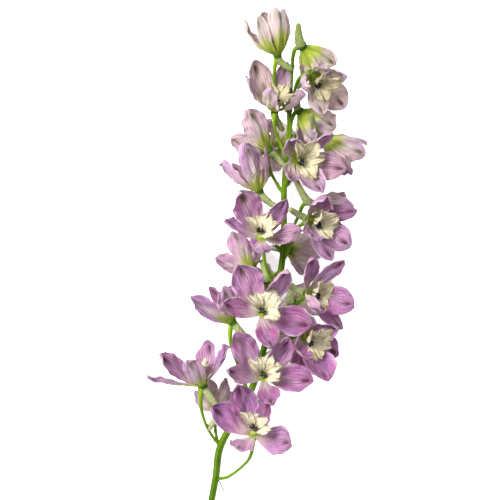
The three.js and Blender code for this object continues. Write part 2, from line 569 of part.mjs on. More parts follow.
function stemSolid() {
  const solids = [mainStemSolid()];
  for (const bloom of BLOOMS) {
    const [foot, first] = bloom.stalk.map(vector);
    const second = vector(bloom.stalk[2] ?? bloom.receptacle);
    solids.push(pedicelSolid(bloom));
    const outward = first.clone().sub(foot).normalize();
    const sunk = foot.clone().addScaledVector(outward, 0.5);
    const bract = bloom.bract ? vector(bloom.bract) : outward.clone().add(vector([0, -0.35, -0.2]));
    solids.push(scaleSolid(sunk, bract.normalize(), BRACT_LENGTH, 0.75));
    if (bloom.under) continue;
    const climb = second.clone().sub(first).normalize().add(new THREE.Vector3(0.25, 0, 0.2)).normalize();
    solids.push(scaleSolid(first, climb, BRACTEOLE_LENGTH, 0.5));
  }
  return joined(solids);
}

// ---- The whole spike -------------------------------------------------------------------

function buildSpike() {
  const group = new THREE.Group();
  const spaces = BLOOMS.map((bloom, k) => bloomSolid(bloom, k + 1, CLEARANCE));
  const label = (k) => String(k + 1).padStart(2, '0');

  // The stalks end in a seat round each receptacle and pass clear of every bloom.
  let stem = stemSolid();
  for (const space of spaces) stem = stem.subtract(space);
  group.add(meshFrom('stem', largestPiece(stem), GREEN));

  BLOOMS.forEach((bloom, k) => {
    let solid = bloomSolid(bloom, k + 1, 0);
    for (let other = 0; other < k; other++) solid = solid.subtract(spaces[other]);
    group.add(meshFrom(`bloom_${label(k)}`, largestPiece(solid), LILAC));
  });
  BLOOMS.forEach((bloom, k) => {
    if (bloom.under) return;
    let bee = solidFrom(beeGeometry(bloom, k + 1));
    for (const space of spaces) bee = bee.subtract(space);
    group.add(meshFrom(`bee_${label(k)}`, largestPiece(bee), CREAM));
  });
  return group;
}

export default buildSpike();
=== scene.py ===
# %% [markdown]
# # A cut delphinium spike, lying on a table
#
# A delphinium flower spike is one ribbed stem that carries a couple of dozen blooms on
# stalks of their own. A bloom has five lilac sepals, a hollow spur behind them, and in its
# middle the "bee": a few ruffled cream petals round near-black anthers. The solid model of
# the spike fixes where everything is and how large it is. This lesson grows a finer piece
# for each solid from the same few numbers, so the dressed spike keeps the solid one's form.

# %% Load the solids
import math

import bpy
import numpy as np
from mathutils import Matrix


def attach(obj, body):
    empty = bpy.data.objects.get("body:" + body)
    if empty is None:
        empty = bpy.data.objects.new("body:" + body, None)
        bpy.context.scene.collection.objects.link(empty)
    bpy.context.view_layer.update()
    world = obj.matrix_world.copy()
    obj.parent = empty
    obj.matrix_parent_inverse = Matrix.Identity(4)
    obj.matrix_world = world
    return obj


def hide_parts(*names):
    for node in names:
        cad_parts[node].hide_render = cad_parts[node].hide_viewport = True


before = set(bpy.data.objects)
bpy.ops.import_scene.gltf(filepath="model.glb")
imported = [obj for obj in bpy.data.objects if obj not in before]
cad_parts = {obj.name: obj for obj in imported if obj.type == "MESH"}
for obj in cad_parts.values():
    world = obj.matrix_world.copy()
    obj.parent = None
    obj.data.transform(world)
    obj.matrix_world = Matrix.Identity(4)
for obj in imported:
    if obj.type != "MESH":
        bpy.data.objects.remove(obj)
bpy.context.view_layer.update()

MM = 0.001  # the tables below are in millimetres, and Blender works in metres


# %% [markdown]
# ## The route of the stem and the place of each bloom
#
# A spike grows by a plan, but wind, light and the weight of its own flowers bend it, so no
# formula gives this one stem. Its places are written down instead. The stem is a list of
# points with a radius. A bloom is the point where its stalk ends, the way it looks, the tip
# of its spur, the bends of its stalk, and the tip of each of its five sepals. Where the
# sepals form a plain bell, a ring with one length, width and opening stands for them. A
# bloom may also have a stout spur or a large bee, or lie underneath.

# %% The main stem: x, y, z and radius
STEM = [
    (-30.6, -158.4, 2.15, 2.15), (-28.8, -148.8, 3.4, 2.1), (-26.6, -136.8, 5.6, 2.05),
    (-24.2, -123.6, 8.6, 2.15), (-22.2, -108, 12.5, 2.3), (-16.2, -94.8, 15.6, 2.15),
    (-9, -81.6, 18.6, 2.1), (-2.1, -69.6, 21.2, 2.1), (5.1, -45, 26, 1.95),
    (10.8, -19.8, 29.3, 1.95), (16, 8.4, 31.6, 1.95), (16.8, 30, 32.5, 1.9),
    (16.8, 46.2, 33, 1.75), (18, 67.2, 33.3, 1.45), (19.6, 85.2, 33.6, 1.2),
    (19.6, 100.2, 34, 1.05), (21, 112.2, 35, 0.85), (22.2, 122.4, 36, 0.6),
]
print("stem of", len(STEM), "points")


# %% The blooms, from the lowest up
def sepal(x, y, z, width, turn=0, bow=2):
    """A sepal's tip, its width, its turn about its own length and how far it bows back."""
    return dict(tip=(x, y, z), width=width, turn=turn, bow=bow)


BLOOMS = [
  dict(receptacle=(-1.4, -97, 35), faces=(0.05, 0.65, 0.76), spur=(3, -92, 18),
    stalk=[(-23.4, -125.4, 8.2), (-16.8, -124.2, 13), (-7.8, -117, 20), (-3, -109.8, 27)],
    bract=(0.4, -0.9, 0.2),
    sepals=[sepal(-10.8, -67.2, 41, 15.5), sepal(-26.4, -80.4, 40, 16, -5),
      sepal(-12, -104.4, 54, 13.5, 0, 3), sepal(21, -102, 44, 17, 10),
      sepal(8.4, -76, 48, 11, 0, 1)]),
  dict(receptacle=(-32.4, -67.2, 30), faces=(-0.42, 0.85, 0.3), spur=(-23.4, -80.4, 27),
    stalk=[(-22.2, -105, 13.2), (-28.8, -95.4, 19), (-32.7, -84, 25), (-33.3, -75, 28.5)],
    sepals=[sepal(-65.4, -63, 36, 10, 55, 1), sepal(-57.6, -49.2, 38, 13, -35, 3),
      sepal(-40.8, -52.2, 46, 11, 0, 2.5), sepal(-28, -41.5, 20, 14),
      sepal(-16.8, -43.8, 36, 9, -20)]),
  dict(receptacle=(-24, -82.8, 18.5), faces=(-0.1, 0.72, -0.68), spur=(-28.2, -94.8, 19),
    stalk=[(-22.8, -104.4, 13.2), (-24, -99, 14), (-24.6, -92.4, 15)],
    ring=dict(turn=36, opening=34, length=20, width=11), under=True),
  dict(receptacle=(4.4, -62.5, 42), faces=(0.05, 0.35, 0.93),
    stalk=[(-4.8, -84.6, 19.8), (1.2, -79.2, 26), (3.9, -72, 34)],
    sepals=[sepal(-12.6, -36.6, 50, 16, 0, 1.5), sepal(19.8, -39, 54, 12, 40, 1),
      sepal(-17.4, -58.2, 58, 11, -10), sepal(9.6, -78.6, 58, 13, 0, 2.5),
      sepal(34.2, -64.8, 48, 17, 0, 1.5)]),
  dict(receptacle=(-14.7, -29.4, 34), faces=(-0.6, 0.75, -0.15), spur=(-4.2, -41.4, 31),
    stalk=[(-4.2, -73.8, 20.6), (-9.6, -59.4, 26), (-14.4, -46.2, 30), (-15.6, -37.8, 33)],
    sepals=[sepal(-39, -15, 44, 11, -20, 1), sepal(-28.4, -9, 26, 8, -10),
      sepal(-16, -8.6, 22, 11), sepal(-20, -10, 47, 14, 0, 3), sepal(-37, -20, 22, 10)]),
  dict(receptacle=(3.8, -24, 46), faces=(0.05, 0.3, 0.95),
    stalk=[(6, -44.4, 26), (4.2, -39.6, 36), (3.6, -33.6, 42)],
    sepals=[sepal(-10.8, 4.8, 52, 18, 0, 1.5), sepal(18.6, 1.8, 56, 14, 40),
      sepal(-19.8, -18.6, 56, 11), sepal(9, -44.4, 60, 13, 0, 2.5),
      sepal(33, -32.4, 50, 17, 0, 1.5)]),
  dict(receptacle=(-3, 1.8, 28), faces=(-0.5, 0.6, -0.55), spur=(3.6, -9, 22),
    stalk=[(9, -34.8, 27.4), (3.6, -22.8, 24), (-1.2, -9.6, 26)],
    sepals=[sepal(-14.4, 24.6, 26, 13), sepal(-24.6, 8.4, 24, 10.5),
      sepal(1.2, 15.6, 32, 8.5, 25), sepal(-21, 6, -2, 13), sepal(1.2, 19.2, 6, 13)]),
  dict(receptacle=(3.4, 21, 44), faces=(-0.03, 0.6, 0.8),
    stalk=[(13.2, -15.6, 29.6), (8.7, -3, 34), (5.4, 5.4, 38)],
    sepals=[sepal(-9.6, 48.6, 50, 19, 0, 1.5), sepal(18, 43.2, 52, 11, 40, 1),
      sepal(-18.6, 31.2, 52, 10, 30, 1.5), sepal(27, 24.6, 54, 14, 0, 3),
      sepal(4.8, 12.6, 62, 13, 0, 3)]),
  dict(receptacle=(1.5, 49.8, 34), faces=(-0.35, 0.9, 0.25), spur=(13.2, 38.4, 37),
    stalk=[(15, 12, 31.6), (9.6, 20.4, 31), (3.6, 30, 31), (1.5, 40.8, 33)],
    sepals=[sepal(-6.6, 76.8, 46, 15, 0, 3), sepal(-21, 65.4, 38, 12, 35, 3),
      sepal(-14.5, 65, 17, 10, 0, 3), sepal(5, 74.4, 45, 10, 45, 3), sepal(5, 67, 18, 10, 0, 3)]),
  dict(receptacle=(7.2, 73.2, 33), faces=(-0.7, 0.65, -0.15), spur=(16.8, 64, 39),
    stalk=[(16.8, 45.6, 33), (15, 49.2, 33), (9.6, 58.2, 33), (7.4, 65.4, 33)],
    sepals=[sepal(-4.8, 97.2, 45, 14), sepal(-15, 80.4, 34, 12), sepal(-4, 68, 24, 9, 0, 1),
      sepal(8.5, 92, 30, 9, 30), sepal(-3, 87, 14, 12)]),
  dict(receptacle=(11.4, 97.8, 40), faces=(0.16, 0.76, 0.63), spur=(15.6, 85.8, 33),
    stalk=[(18, 69.6, 33.4), (13.8, 79.2, 34), (11.1, 87, 37)],
    sepals=[sepal(-1.5, 126.6, 40, 16, 0, 3), sepal(-5.5, 117, 52, 9, 30, 3),
      sepal(18.5, 126, 31, 10), sepal(28.8, 106.2, 56, 13), sepal(9.5, 108, 60, 13, 0, 4)]),
  dict(receptacle=(12.6, 130.8, 38), faces=(-0.2, 0.95, 0.2), spur=(21, 121.2, 41),
    stalk=[(18.9, 96, 33.8), (12.6, 107.4, 34), (10.8, 117.6, 36)],
    sepals=[sepal(-7.2, 150.6, 36, 9, 30, 4), sepal(1.4, 152.4, 48, 9.5, 0, 4),
      sepal(12, 157.8, 48, 13, 0, 4), sepal(16.6, 157.8, 34, 8, -40, 4),
      sepal(4.5, 156, 26, 11, 0, 4)]),
  dict(receptacle=(28.8, 133.2, 44), faces=(0.6, -0.66, -0.43), spur=(25.2, 147, 47),
    stout=0.4, stalk=[(21, 106.2, 34.4), (21.6, 120, 38), (22.1, 129, 42), (24, 133.8, 45)],
    ring=dict(turn=0, opening=31, length=21, width=11)),
  dict(receptacle=(34.2, 116.5, 50), faces=(0.48, -0.58, 0.66), spur=(25.5, 111, 35),
    bee=1.2, stalk=[(19.5, 88.8, 33.6), (21.6, 100.8, 38), (24.6, 113.4, 45), (29.2, 117.6, 49)],
    sepals=[sepal(28.2, 109.2, 61, 12, 0, 3), sepal(54, 116, 56, 10), sepal(53.5, 98, 46, 16, 0, 3),
      sepal(40, 93.5, 53, 11), sepal(43.2, 118.8, 60, 10)]),
  dict(receptacle=(27, 95.4, 40), faces=(0.68, -0.66, -0.32), spur=(25.2, 105.6, 42),
    stalk=[(19.2, 75.6, 33.4), (20.4, 80.4, 35), (21.3, 90.6, 38), (24, 96, 40)],
    ring=dict(turn=0, opening=35, length=23, width=13.5)),
  dict(receptacle=(41.4, 78.6, 41), faces=(0.8, -0.5, -0.2), spur=(33, 93, 55),
    stalk=[(17.1, 50.4, 33), (25.2, 60, 27), (33.6, 70.8, 31)],
    ring=dict(turn=0, opening=28, length=26, width=13)),
  dict(receptacle=(24.6, 67.2, 50), faces=(0.4, -0.1, 0.9), bee=1.15,
    stalk=[(17.4, 51.6, 33), (19.8, 58.8, 39), (22.2, 63.6, 45)],
    sepals=[sepal(19.2, 78.6, 62, 12, 0, 3), sepal(20.4, 54.6, 62, 10, 0, 3),
      sepal(45, 83.4, 56, 9, 35, 1), sepal(53.4, 60.6, 54, 16), sepal(39.6, 47.4, 58, 14)]),
  dict(receptacle=(32.5, 31, 46), faces=(0.7, -0.27, 0.66), spur=(20.4, 37.2, 54),
    bee=1.15, stalk=[(17.1, 8.4, 31.6), (21, 16.8, 36), (24.6, 26.4, 41)],
    sepals=[sepal(42.6, 45, 58, 13, 0, 3), sepal(60, 36, 52, 10), sepal(56.4, 15.6, 50, 16),
      sepal(37.2, 18.6, 61, 11, 0, 3), sepal(45.5, 7, 44, 10, 20)]),
  dict(receptacle=(35.4, 40.2, 43), faces=(0.78, -0.28, -0.55), spur=(23.4, 55.2, 54),
    stalk=[(17.1, 12, 31.7), (22.8, 27.6, 39), (25.8, 34.8, 43), (28.8, 40.8, 46)],
    ring=dict(turn=0, opening=31, length=23, width=12)),
  dict(receptacle=(31.5, -12.5, 44), faces=(0.76, -0.08, 0.64), spur=(18.3, -7.2, 44),
    stalk=[(10.2, -30, 28.2), (17.4, -26.4, 32), (23.4, -19.8, 38)],
    sepals=[sepal(33.6, 9, 50, 12.5, 0, 1.5), sepal(52.6, 7, 48, 10.5, 0, 1),
      sepal(58.2, -19.2, 53, 16), sepal(51.8, -34, 43, 8, 20, 1),
      sepal(39.4, -22.8, 60, 12, 0, 3)]),
  dict(receptacle=(22.2, -19.2, 20.5), faces=(0.45, -0.35, -0.8), spur=(22, -8, 27),
    stalk=[(12.6, -24, 28.8), (16.8, -22.8, 24)],
    ring=dict(turn=0, opening=48, length=22, width=13), under=True),
  dict(receptacle=(28.5, -38, 44), faces=(0.62, -0.42, 0.66), spur=(24, -27.6, 26), bee=1.2,
    stalk=[(3.6, -53.4, 24.4), (11.4, -49.8, 32), (16.8, -43.2, 39), (22.5, -38.4, 43)],
    sepals=[sepal(49.2, -33.6, 52, 11), sepal(30, -51.6, 58, 11, 0, 3),
      sepal(43.2, -64.8, 50, 18), sepal(49.5, -49.5, 37, 14), sepal(27.6, -61.8, 38, 12)]),
  dict(receptacle=(12.6, -46.8, 18), faces=(0.5, -0.4, -0.8), spur=(16, -36, 26),
    stalk=[(3.6, -51, 24.8), (7.2, -49.2, 22)],
    ring=dict(turn=20, opening=48, length=22, width=13), under=True),
  dict(receptacle=(20.5, 13, 24), faces=(0.8, -0.15, -0.58), spur=(9.5, 14.5, 23),
    stalk=[(16.8, 19.2, 32), (19.2, 16.2, 27)],
    ring=dict(turn=0, opening=36, length=22, width=13), under=True),
  dict(receptacle=(5.5, -5, 21.5), faces=(-0.3, -0.15, -0.9), spur=(4, 6, 27),
    stalk=[(14.6, 0.5, 30.6), (11, -1.5, 26)],
    ring=dict(turn=30, opening=42, length=21, width=12.5), under=True),
  dict(receptacle=(16.5, 76, 16.2), faces=(-0.1, -0.08, -1), spur=(27, 84, 27),
    stalk=[(18, 68.4, 33.3), (16.2, 70.2, 26)],
    ring=dict(turn=0, opening=50, length=22, width=13), under=True),
]
print(len(BLOOMS), "blooms,", sum(bloom.get("under", False) for bloom in BLOOMS), "underneath")

# %% [markdown]
# ## Directions, turns and seeded chance
#
# Everything that follows needs a few lines of vector arithmetic. Chance is used for the
# small differences between petals, and it comes from a seeded stream for each bloom, so
# the flower is the same each time that the script runs.

# %% Small helpers
TURN = 6.28  # about one full turn, for the phase of a wave


def unit(vector):
    vector = np.asarray(vector, float)
    return vector / np.linalg.norm(vector)


def units(vectors):
    """Each vector of an array at length one."""
    return vectors / np.linalg.norm(vectors, axis=-1, keepdims=True)


def turned(vector, axis, angle):
    """The vector turned about a unit axis, by Rodrigues' formula."""
    return (vector * math.cos(angle) + np.cross(axis, vector) * math.sin(angle)
            + axis * (axis @ vector) * (1 - math.cos(angle)))


def ease(x, low, high):
    """From 0 at low to 1 at high, with no kink at either end."""
    t = np.clip((x - low) / (high - low), 0, 1)
    return t * t * (3 - 2 * t)


def by_half(v, left, right):
    """One value where v is above 0 and another elsewhere, for the two halves of a blade."""
    return np.where(v > 0, left, right)


class Chance:
    """Seeded numbers from 0 to 1, each worked out from the one before."""

    GROWTH, STEP, ROUND = 1664525, 1013904223, 2**32

    def __init__(self, seed):
        self.state = seed * 7919 + 17

    def draw(self):
        self.state = (self.state * self.GROWTH + self.STEP) % self.ROUND
        return self.state / self.ROUND

    def draws(self, count):
        return [self.draw() for _ in range(count)]


print("first draws of bloom 1:", [round(number, 3) for number in Chance(1).draws(3)])

# %% [markdown]
# ## How five sepals stand round a bloom
#
# The sepals leave the receptacle, the swollen end of the stalk, evenly round the way that
# the bloom faces. A tip may hang anywhere, so each sepal takes the slot nearest to its own
# tip. The plain bells and the blooms that lie underneath have no tips written down: theirs
# spread as an even ring, each sepal tilted so that its edge lies over the next.

# %% Slots for the sepals
SEPALS = 5
RECEPTACLE_RADIUS = 2.6
RING_TILT = 14  # degrees


def upward_of(faces):
    """The way across the bloom that is nearest to the tip of the spike."""
    return unit(np.array([0, 1, 0]) - faces * faces[1])


def ring_sepals(bloom):
    """Equal sepals that open evenly round the way that the bloom faces."""
    ring, faces = bloom["ring"], unit(bloom["faces"])
    opening = math.radians(ring["opening"])
    blades = []
    for k in range(SEPALS):
        outward = turned(upward_of(faces), faces, math.radians(ring["turn"] + 360 / SEPALS * k))
        reach = ring["length"] * (outward * math.sin(opening) + faces * math.cos(opening))
        blades.append(sepal(*(np.array(bloom["receptacle"]) + reach), ring["width"], RING_TILT))
    return blades


def sepals_of(bloom):
    return bloom.get("sepals") or ring_sepals(bloom)


def sepals_in_slots(bloom):
    """Each sepal with the way that its root stands off the receptacle, in order round it."""
    faces = unit(bloom["faces"])
    upward = upward_of(faces)
    across = np.cross(faces, upward)
    in_order = []
    for blade in sepals_of(bloom):
        reach = np.array(blade["tip"]) - bloom["receptacle"]
        in_order.append((math.atan2(reach @ across, reach @ upward), blade))
    in_order.sort(key=lambda pair: pair[0])
    spacing = 2 * math.pi / SEPALS
    start = sum(azimuth - k * spacing for k, (azimuth, _) in enumerate(in_order)) / SEPALS
    return [(blade, turned(upward, faces, start + k * spacing))
            for k, (_, blade) in enumerate(in_order)]


first_bloom = BLOOMS[0]
print("bloom 1 has sepals", [
    round(np.linalg.norm(np.subtract(blade["tip"], first_bloom["receptacle"])))
    for blade, _ in sepals_in_slots(first_bloom)], "mm long")

# %% [markdown]
# ## One sepal
#
# A sepal is a thin blade with a narrow claw at its root and its widest place past the
# middle. It could be a subdivided plane, bent by hand, but there are a hundred and thirty
# of them. A function of two numbers is shorter: u runs from root to tip and v across the
# blade, and the function gives the point in space. The blade twists from the slot where it
# is rooted to the way that its tip lies. What would hang below the table lies on it.

# %% Where a sepal runs
SEPAL_CLAW = 3.3        # width at the root, where five sepals close the ring
SEPAL_FLATTENING = 0.5  # how much a sepal turns flat from standing on its edge
LEAST_OPENING = math.radians(35)
LYING_HEIGHT, PRESS_SOFTNESS = 0.2, 1.2


def outline(u):
    """Half-width along a sepal as a share of the most: claw, broad belly, rounded tip."""
    return np.clip(np.sin(np.pi * np.clip(u, 0, 1) ** 1.52), 0, 1) ** 0.66


def pressed(z):
    """Height above the table: what would hang lower than it lies flat on it."""
    above = z - LYING_HEIGHT
    return LYING_HEIGHT + (above + np.hypot(above, PRESS_SOFTNESS)) / 2


def sepal_run(bloom, blade, outward):
    """Root, length and direction, and the ways inward and sideways at the root and beyond."""
    faces = unit(bloom["faces"])
    root = bloom["receptacle"] + outward * RECEPTACLE_RADIUS
    chord = blade["tip"] - root
    length, direction = np.linalg.norm(chord), unit(chord)
    inward = unit(faces - direction * (faces @ direction))
    if "ring" not in bloom:
        inward[2] += math.copysign(SEPAL_FLATTENING, inward[2])
        inward = unit(inward - direction * (inward @ direction))
    inward = turned(inward, direction, math.radians(blade["turn"]))
    opening = max(math.acos(np.clip(direction @ faces, -1, 1)), LEAST_OPENING)
    at_root = (faces * math.sin(opening) - outward * math.cos(opening), np.cross(faces, outward))
    return root, length, direction, at_root, (inward, np.cross(inward, direction))


print("outline at 0, 1/4, 1/2, 3/4 and 1:", outline(np.linspace(0, 1, 5)).round(2))

# %% [markdown]
# ## The relief of a sepal
#
# No sepal is flat. Its edges rise into a shallow cup and may roll in or out, its middle
# bows back and has a fine groove, one long wave and many short ones run along its edges,
# and the whole blade is a little crinkled. Each of these is a height above the blade, so
# they add up. Their phases are drawn by chance, so that no two sepals are alike.

# %% The sepal as a function of u and v
MIDRIB_DEPTH, MIDRIB_HALF_WIDTH = 0.28, 0.09
WAVE, RUFFLE, CRINKLE = 0.07, 0.065, 0.033  # heights as shares of the sepal's width
LEAST_CUP, MORE_CUP = 0.1, 0.12
MOST_ROLL, OUTWARD_ROLL = 0.5, 0.4  # an edge rolls outwards in four cases of ten
WAVE_RATE, RUFFLE_RATE, FRILL_RATE = 7.5, 17, 31  # phase of each wave from root to tip
MOST_PULL = 0.8                     # how much closer the waves of the ruffle may stand


def sines(u, v, waves):
    """A sum of sine waves, each of a height, a rate along u, a rate along v and a phase."""
    return sum(height * np.sin(along * u + across * v + phase)
               for height, along, across, phase in waves)


def sepal_surface(bloom, blade, outward, chance):
    root, length, direction, at_root, beyond = sepal_run(bloom, blade, outward)
    width = blade["width"]
    long_phase = [TURN * number for number in chance.draws(2)]
    cup = LEAST_CUP + MORE_CUP * chance.draw()
    fine = Chance(int(width * 10 + length * 100))
    phase = [TURN * number for number in fine.draws(8)]
    pull = 1 + MOST_PULL * fine.draw()
    roll = [MOST_ROLL * (number - OUTWARD_ROLL) for number in fine.draws(2)]

    def relief(u, v):
        edge = np.abs(v)
        wave = WAVE * u * v**2 * np.sin(WAVE_RATE * u + by_half(v, long_phase[1], long_phase[0]))
        ruffle = RUFFLE * u * edge**3 * (
            np.sin(RUFFLE_RATE * u * pull + by_half(v, *phase[0:2]))
            + 0.5 * np.sin(FRILL_RATE * u + by_half(v, *phase[2:4])))
        rolled = by_half(v, *roll) * ease(edge, 0.5, 1.05) * ease(u, 0.1, 0.6)
        crinkle = CRINKLE * ease(u, 0, 0.4) * sines(u, v, [
            (1, 9, 3.1, phase[4]), (1, -5, 6.5, phase[5]),
            (0.6, 15, 8, phase[6]), (0.6, -12, 13, phase[7])])
        groove = MIDRIB_DEPTH * np.exp(-((v / MIDRIB_HALF_WIDTH) ** 2)) * (1 - u)
        bow = blade["bow"] * 4 * u * (1 - u)
        return width * (cup * v**2 * outline(u) + wave + ruffle + rolled + crinkle) - groove - bow

    def surface(u, v):
        twist = ease(u, 0, 0.45)[..., None]
        rising, across = (units(first * (1 - twist) + second * twist)
                          for first, second in zip(at_root, beyond))
        half = width / 2 * outline(u) + SEPAL_CLAW / 2 * (1 - u)
        point = (root + direction * (length * u)[..., None]
                 + across * (half * v)[..., None] + rising * relief(u, v)[..., None])
        point[..., 2] = pressed(point[..., 2])
        return point

    return surface


some_sepal = sepal_surface(first_bloom, *sepals_in_slots(first_bloom)[0], Chance(1))
print("its tip stands at", some_sepal(np.array([1.0]), np.array([0.0]))[0].round(1), "mm")

# %% [markdown]
# ## From a function to a thin closed blade
#
# The function is sampled on a grid. Each sample moves half a thickness to either side along
# the surface's normal, which gives the inside and the outside of the sepal, and a strip of
# faces closes the rim. The blade is thinnest at its rim, as on the flower, where the light
# comes through. The numbers u and v stay on every point, because the veins and the coloured
# spot are painted by them later.


# %% A skin that grows until it is a piece
def placed(name, data):
    """A new object at the origin that shows a mesh or a curve."""
    made = bpy.data.objects.new(name, data)
    bpy.context.scene.collection.objects.link(made)
    return made


def keep_on_points(mesh, label, numbers):
    """Store one number for each point of a mesh under a name that the finishes read."""
    mesh.attributes.new(label, "FLOAT", "POINT").data.foreach_set("value", numbers)


class Skin:
    """Points and faces of a piece while it is made, with a value of each kind on every point."""

    def __init__(self):
        self.points, self.faces, self.finishes, self.values = [], [], [], {}
        self.count = 0

    def add(self, points, faces, finishes, **values):
        points = np.asarray(points, float).reshape(-1, 3)
        self.faces += [tuple(self.count + np.array(face)) for face in faces]
        self.finishes += list(finishes)
        self.points.append(points)
        for label, value in values.items():
            value = np.broadcast_to(np.asarray(value, float).ravel(), len(points))
            self.values.setdefault(label, []).append(value)
        self.count += len(points)

    def piece(self, name, materials):
        """The finished object, in metres."""
        mesh = bpy.data.meshes.new(name)
        mesh.from_pydata((np.vstack(self.points) * MM).tolist(), [],
                         [[int(i) for i in face] for face in self.faces])
        for material in materials:
            mesh.materials.append(material)
        mesh.polygons.foreach_set("material_index", np.array(self.finishes, np.int32))
        mesh.polygons.foreach_set("use_smooth", np.ones(len(mesh.polygons), bool))
        for label, chunks in self.values.items():
            keep_on_points(mesh, label, np.concatenate(chunks).astype(np.float32))
        mesh.validate()
        return placed(name, mesh)


print("a skin keeps its", ", ".join(vars(Skin())))

# %% Blades
ALONG_STEPS, ACROSS_STEPS = 30, 18
RIM_SHARE = 0.35   # thickness of the rim as a share of the middle's
LAST_SLOPE = 0.95  # past this u the outline closes too fast for a normal of its own
LOWEST = 0.02      # nothing comes closer to the table


def thin_blade(skin, surface, u, v, thickness, finishes, **values):
    """A closed blade on the grid of u and v. finishes are those of its inside and outside."""
    u, v = np.meshgrid(u, v, indexing="ij")
    step, slope_u = 1e-3, np.minimum(u, LAST_SLOPE)
    along = surface(slope_u + step, v) - surface(slope_u - step, v)
    across = surface(slope_u, v + step) - surface(slope_u, v - step)
    normal = units(np.cross(along, across))
    middle = surface(u, v)
    half = (thickness * (RIM_SHARE + (1 - RIM_SHARE) * (1 - v**4)) / 2)[..., None]
    layers = np.stack([middle + normal * half, middle - normal * half])
    layers[..., 2] = np.maximum(layers[..., 2], LOWEST)
    rows, columns = u.shape
    back = rows * columns
    faces, kinds = [], []
    for i in range(rows - 1):
        for j in range(columns - 1):
            a = i * columns + j
            corners = (a, a + 1, a + columns + 1, a + columns)
            faces += [corners[::-1], tuple(corner + back for corner in corners)]
            kinds += finishes
    rim = ([i * columns for i in range(rows)]
           + [back - columns + j for j in range(1, columns)]
           + [i * columns + columns - 1 for i in range(rows - 2, -1, -1)]
           + list(range(columns - 2, 0, -1)))
    for a, b in zip(rim, rim[1:] + rim[:1]):
        faces.append((b, a, a + back, b + back))
        kinds.append(finishes[1])
    skin.add(layers, faces, kinds, along=np.tile(u.ravel(), 2), across=np.tile(v.ravel(), 2),
             **values)


print("a blade has", 4 * ALONG_STEPS * ACROSS_STEPS, "triangles and its rim")

# %% [markdown]
# ## A short way to write finishes
#
# Node trees are usually wired by hand in the shader editor. In a script the same tree is
# shorter as arithmetic, so a Wire stands for one socket, and a sum or product of wires adds
# the Math node that works it out. A Bench holds one tree and adds any other node to it.


# %% Wires and benches
class Wire:
    """A socket of a node tree that can be used in sums."""

    def __init__(self, bench, socket):
        self.bench, self.socket = bench, socket

    def math(self, operation, *values):
        return self.bench.node("ShaderNodeMath", {"operation": operation}, dict(enumerate(values)))

    def __add__(self, other):
        return self.math("ADD", self, other)

    def __sub__(self, other):
        return self.math("SUBTRACT", self, other)

    def __rsub__(self, other):
        return self.math("SUBTRACT", other, self)

    def __mul__(self, other):
        return self.math("MULTIPLY", self, other)

    def __truediv__(self, other):
        return self.math("DIVIDE", self, other)

    def __rtruediv__(self, other):
        return self.math("DIVIDE", other, self)

    def __pow__(self, other):
        return self.math("POWER", self, other)

    def __abs__(self):
        return self.math("ABSOLUTE", self)

    __radd__ = __add__
    __rmul__ = __mul__

    def sine(self):
        return self.math("SINE", self)

    def rise(self, low, high):
        """From 0 at low to 1 at high, eased."""
        return self.bench.node("ShaderNodeMapRange", {"interpolation_type": "SMOOTHSTEP"},
                               {"Value": self, "From Min": low, "From Max": high})


class Bench:
    """One node tree, with a method that adds any node to it."""

    def __init__(self, tree):
        self.tree = tree

    def node(self, kind, settings=None, inputs=None, out=0):
        made = self.tree.nodes.new(kind)
        for name, value in (settings or {}).items():
            setattr(made, name, value)
        for key, value in (inputs or {}).items():
            if isinstance(value, Wire):
                self.tree.links.new(value.socket, made.inputs[key])
            else:
                made.inputs[key].default_value = value
        return Wire(self, made.outputs[out]) if len(made.outputs) else None

    def blend(self, share, first, second):
        """The first colour, or the second where share is 1."""
        return self.node("ShaderNodeMix", {"data_type": "RGBA"}, {0: share, 6: first, 7: second},
                         out=2)

    def layered(self, tone, *layers):
        """A tone with colours laid over it in turn, each where its share is 1."""
        for share, colour in layers:
            tone = self.blend(share, tone, colour)
        return tone

    def value(self, name):
        """A number that is kept on the points of the piece."""
        return self.node("ShaderNodeAttribute", {"attribute_name": name}, out="Fac")

    def vector(self, x, y, z):
        return self.node("ShaderNodeCombineXYZ", {}, {0: x, 1: y, 2: z})

    def noise(self, where, scale, detail=2.0, roughness=0.5):
        return self.node("ShaderNodeTexNoise", {}, {"Vector": where, "Scale": scale,
                                                    "Detail": detail, "Roughness": roughness})


# %% Finishes and colours
class Finish(Bench):
    """The node tree of one material."""

    def __init__(self, name):
        self.material = bpy.data.materials.new(name)
        self.material.use_nodes = True
        super().__init__(self.material.node_tree)
        self.tree.nodes.clear()
        self.place = self.node("ShaderNodeTexCoord", out="Object")

    def show(self, colour, roughness, relief=None, depth=0.0, glow=0.0, **constants):
        """A plain surface. glow is the share of light that comes through a thin petal."""
        inputs = {"Base Color": colour, "Roughness": roughness, **constants}
        if relief:
            inputs["Normal"] = self.node("ShaderNodeBump", {},
                                         {"Height": relief, "Distance": depth})
        shader = self.node("ShaderNodeBsdfPrincipled", {}, inputs)
        if glow:
            through = self.node("ShaderNodeBsdfTranslucent", {}, {"Color": colour})
            shader = self.node("ShaderNodeMixShader", {}, {0: glow, 1: shader, 2: through})
        self.node("ShaderNodeOutputMaterial", {}, {"Surface": shader})
        return self.material


BLEACHING = 1.25  # under this light a finish shows that much lighter than it is


def paint(red, green, blue, share=1 / BLEACHING):
    """A colour from the 0 to 255 that it shows, as the linear light that a shader takes."""
    return tuple(share * (c / 255 / 12.92 if c <= 10 else ((c / 255 + 0.055) / 1.055) ** 2.4)
                 for c in (red, green, blue)) + (1.0,)


print("mid lilac in linear light:", [round(c, 3) for c in paint(190, 140, 178)[:3]])

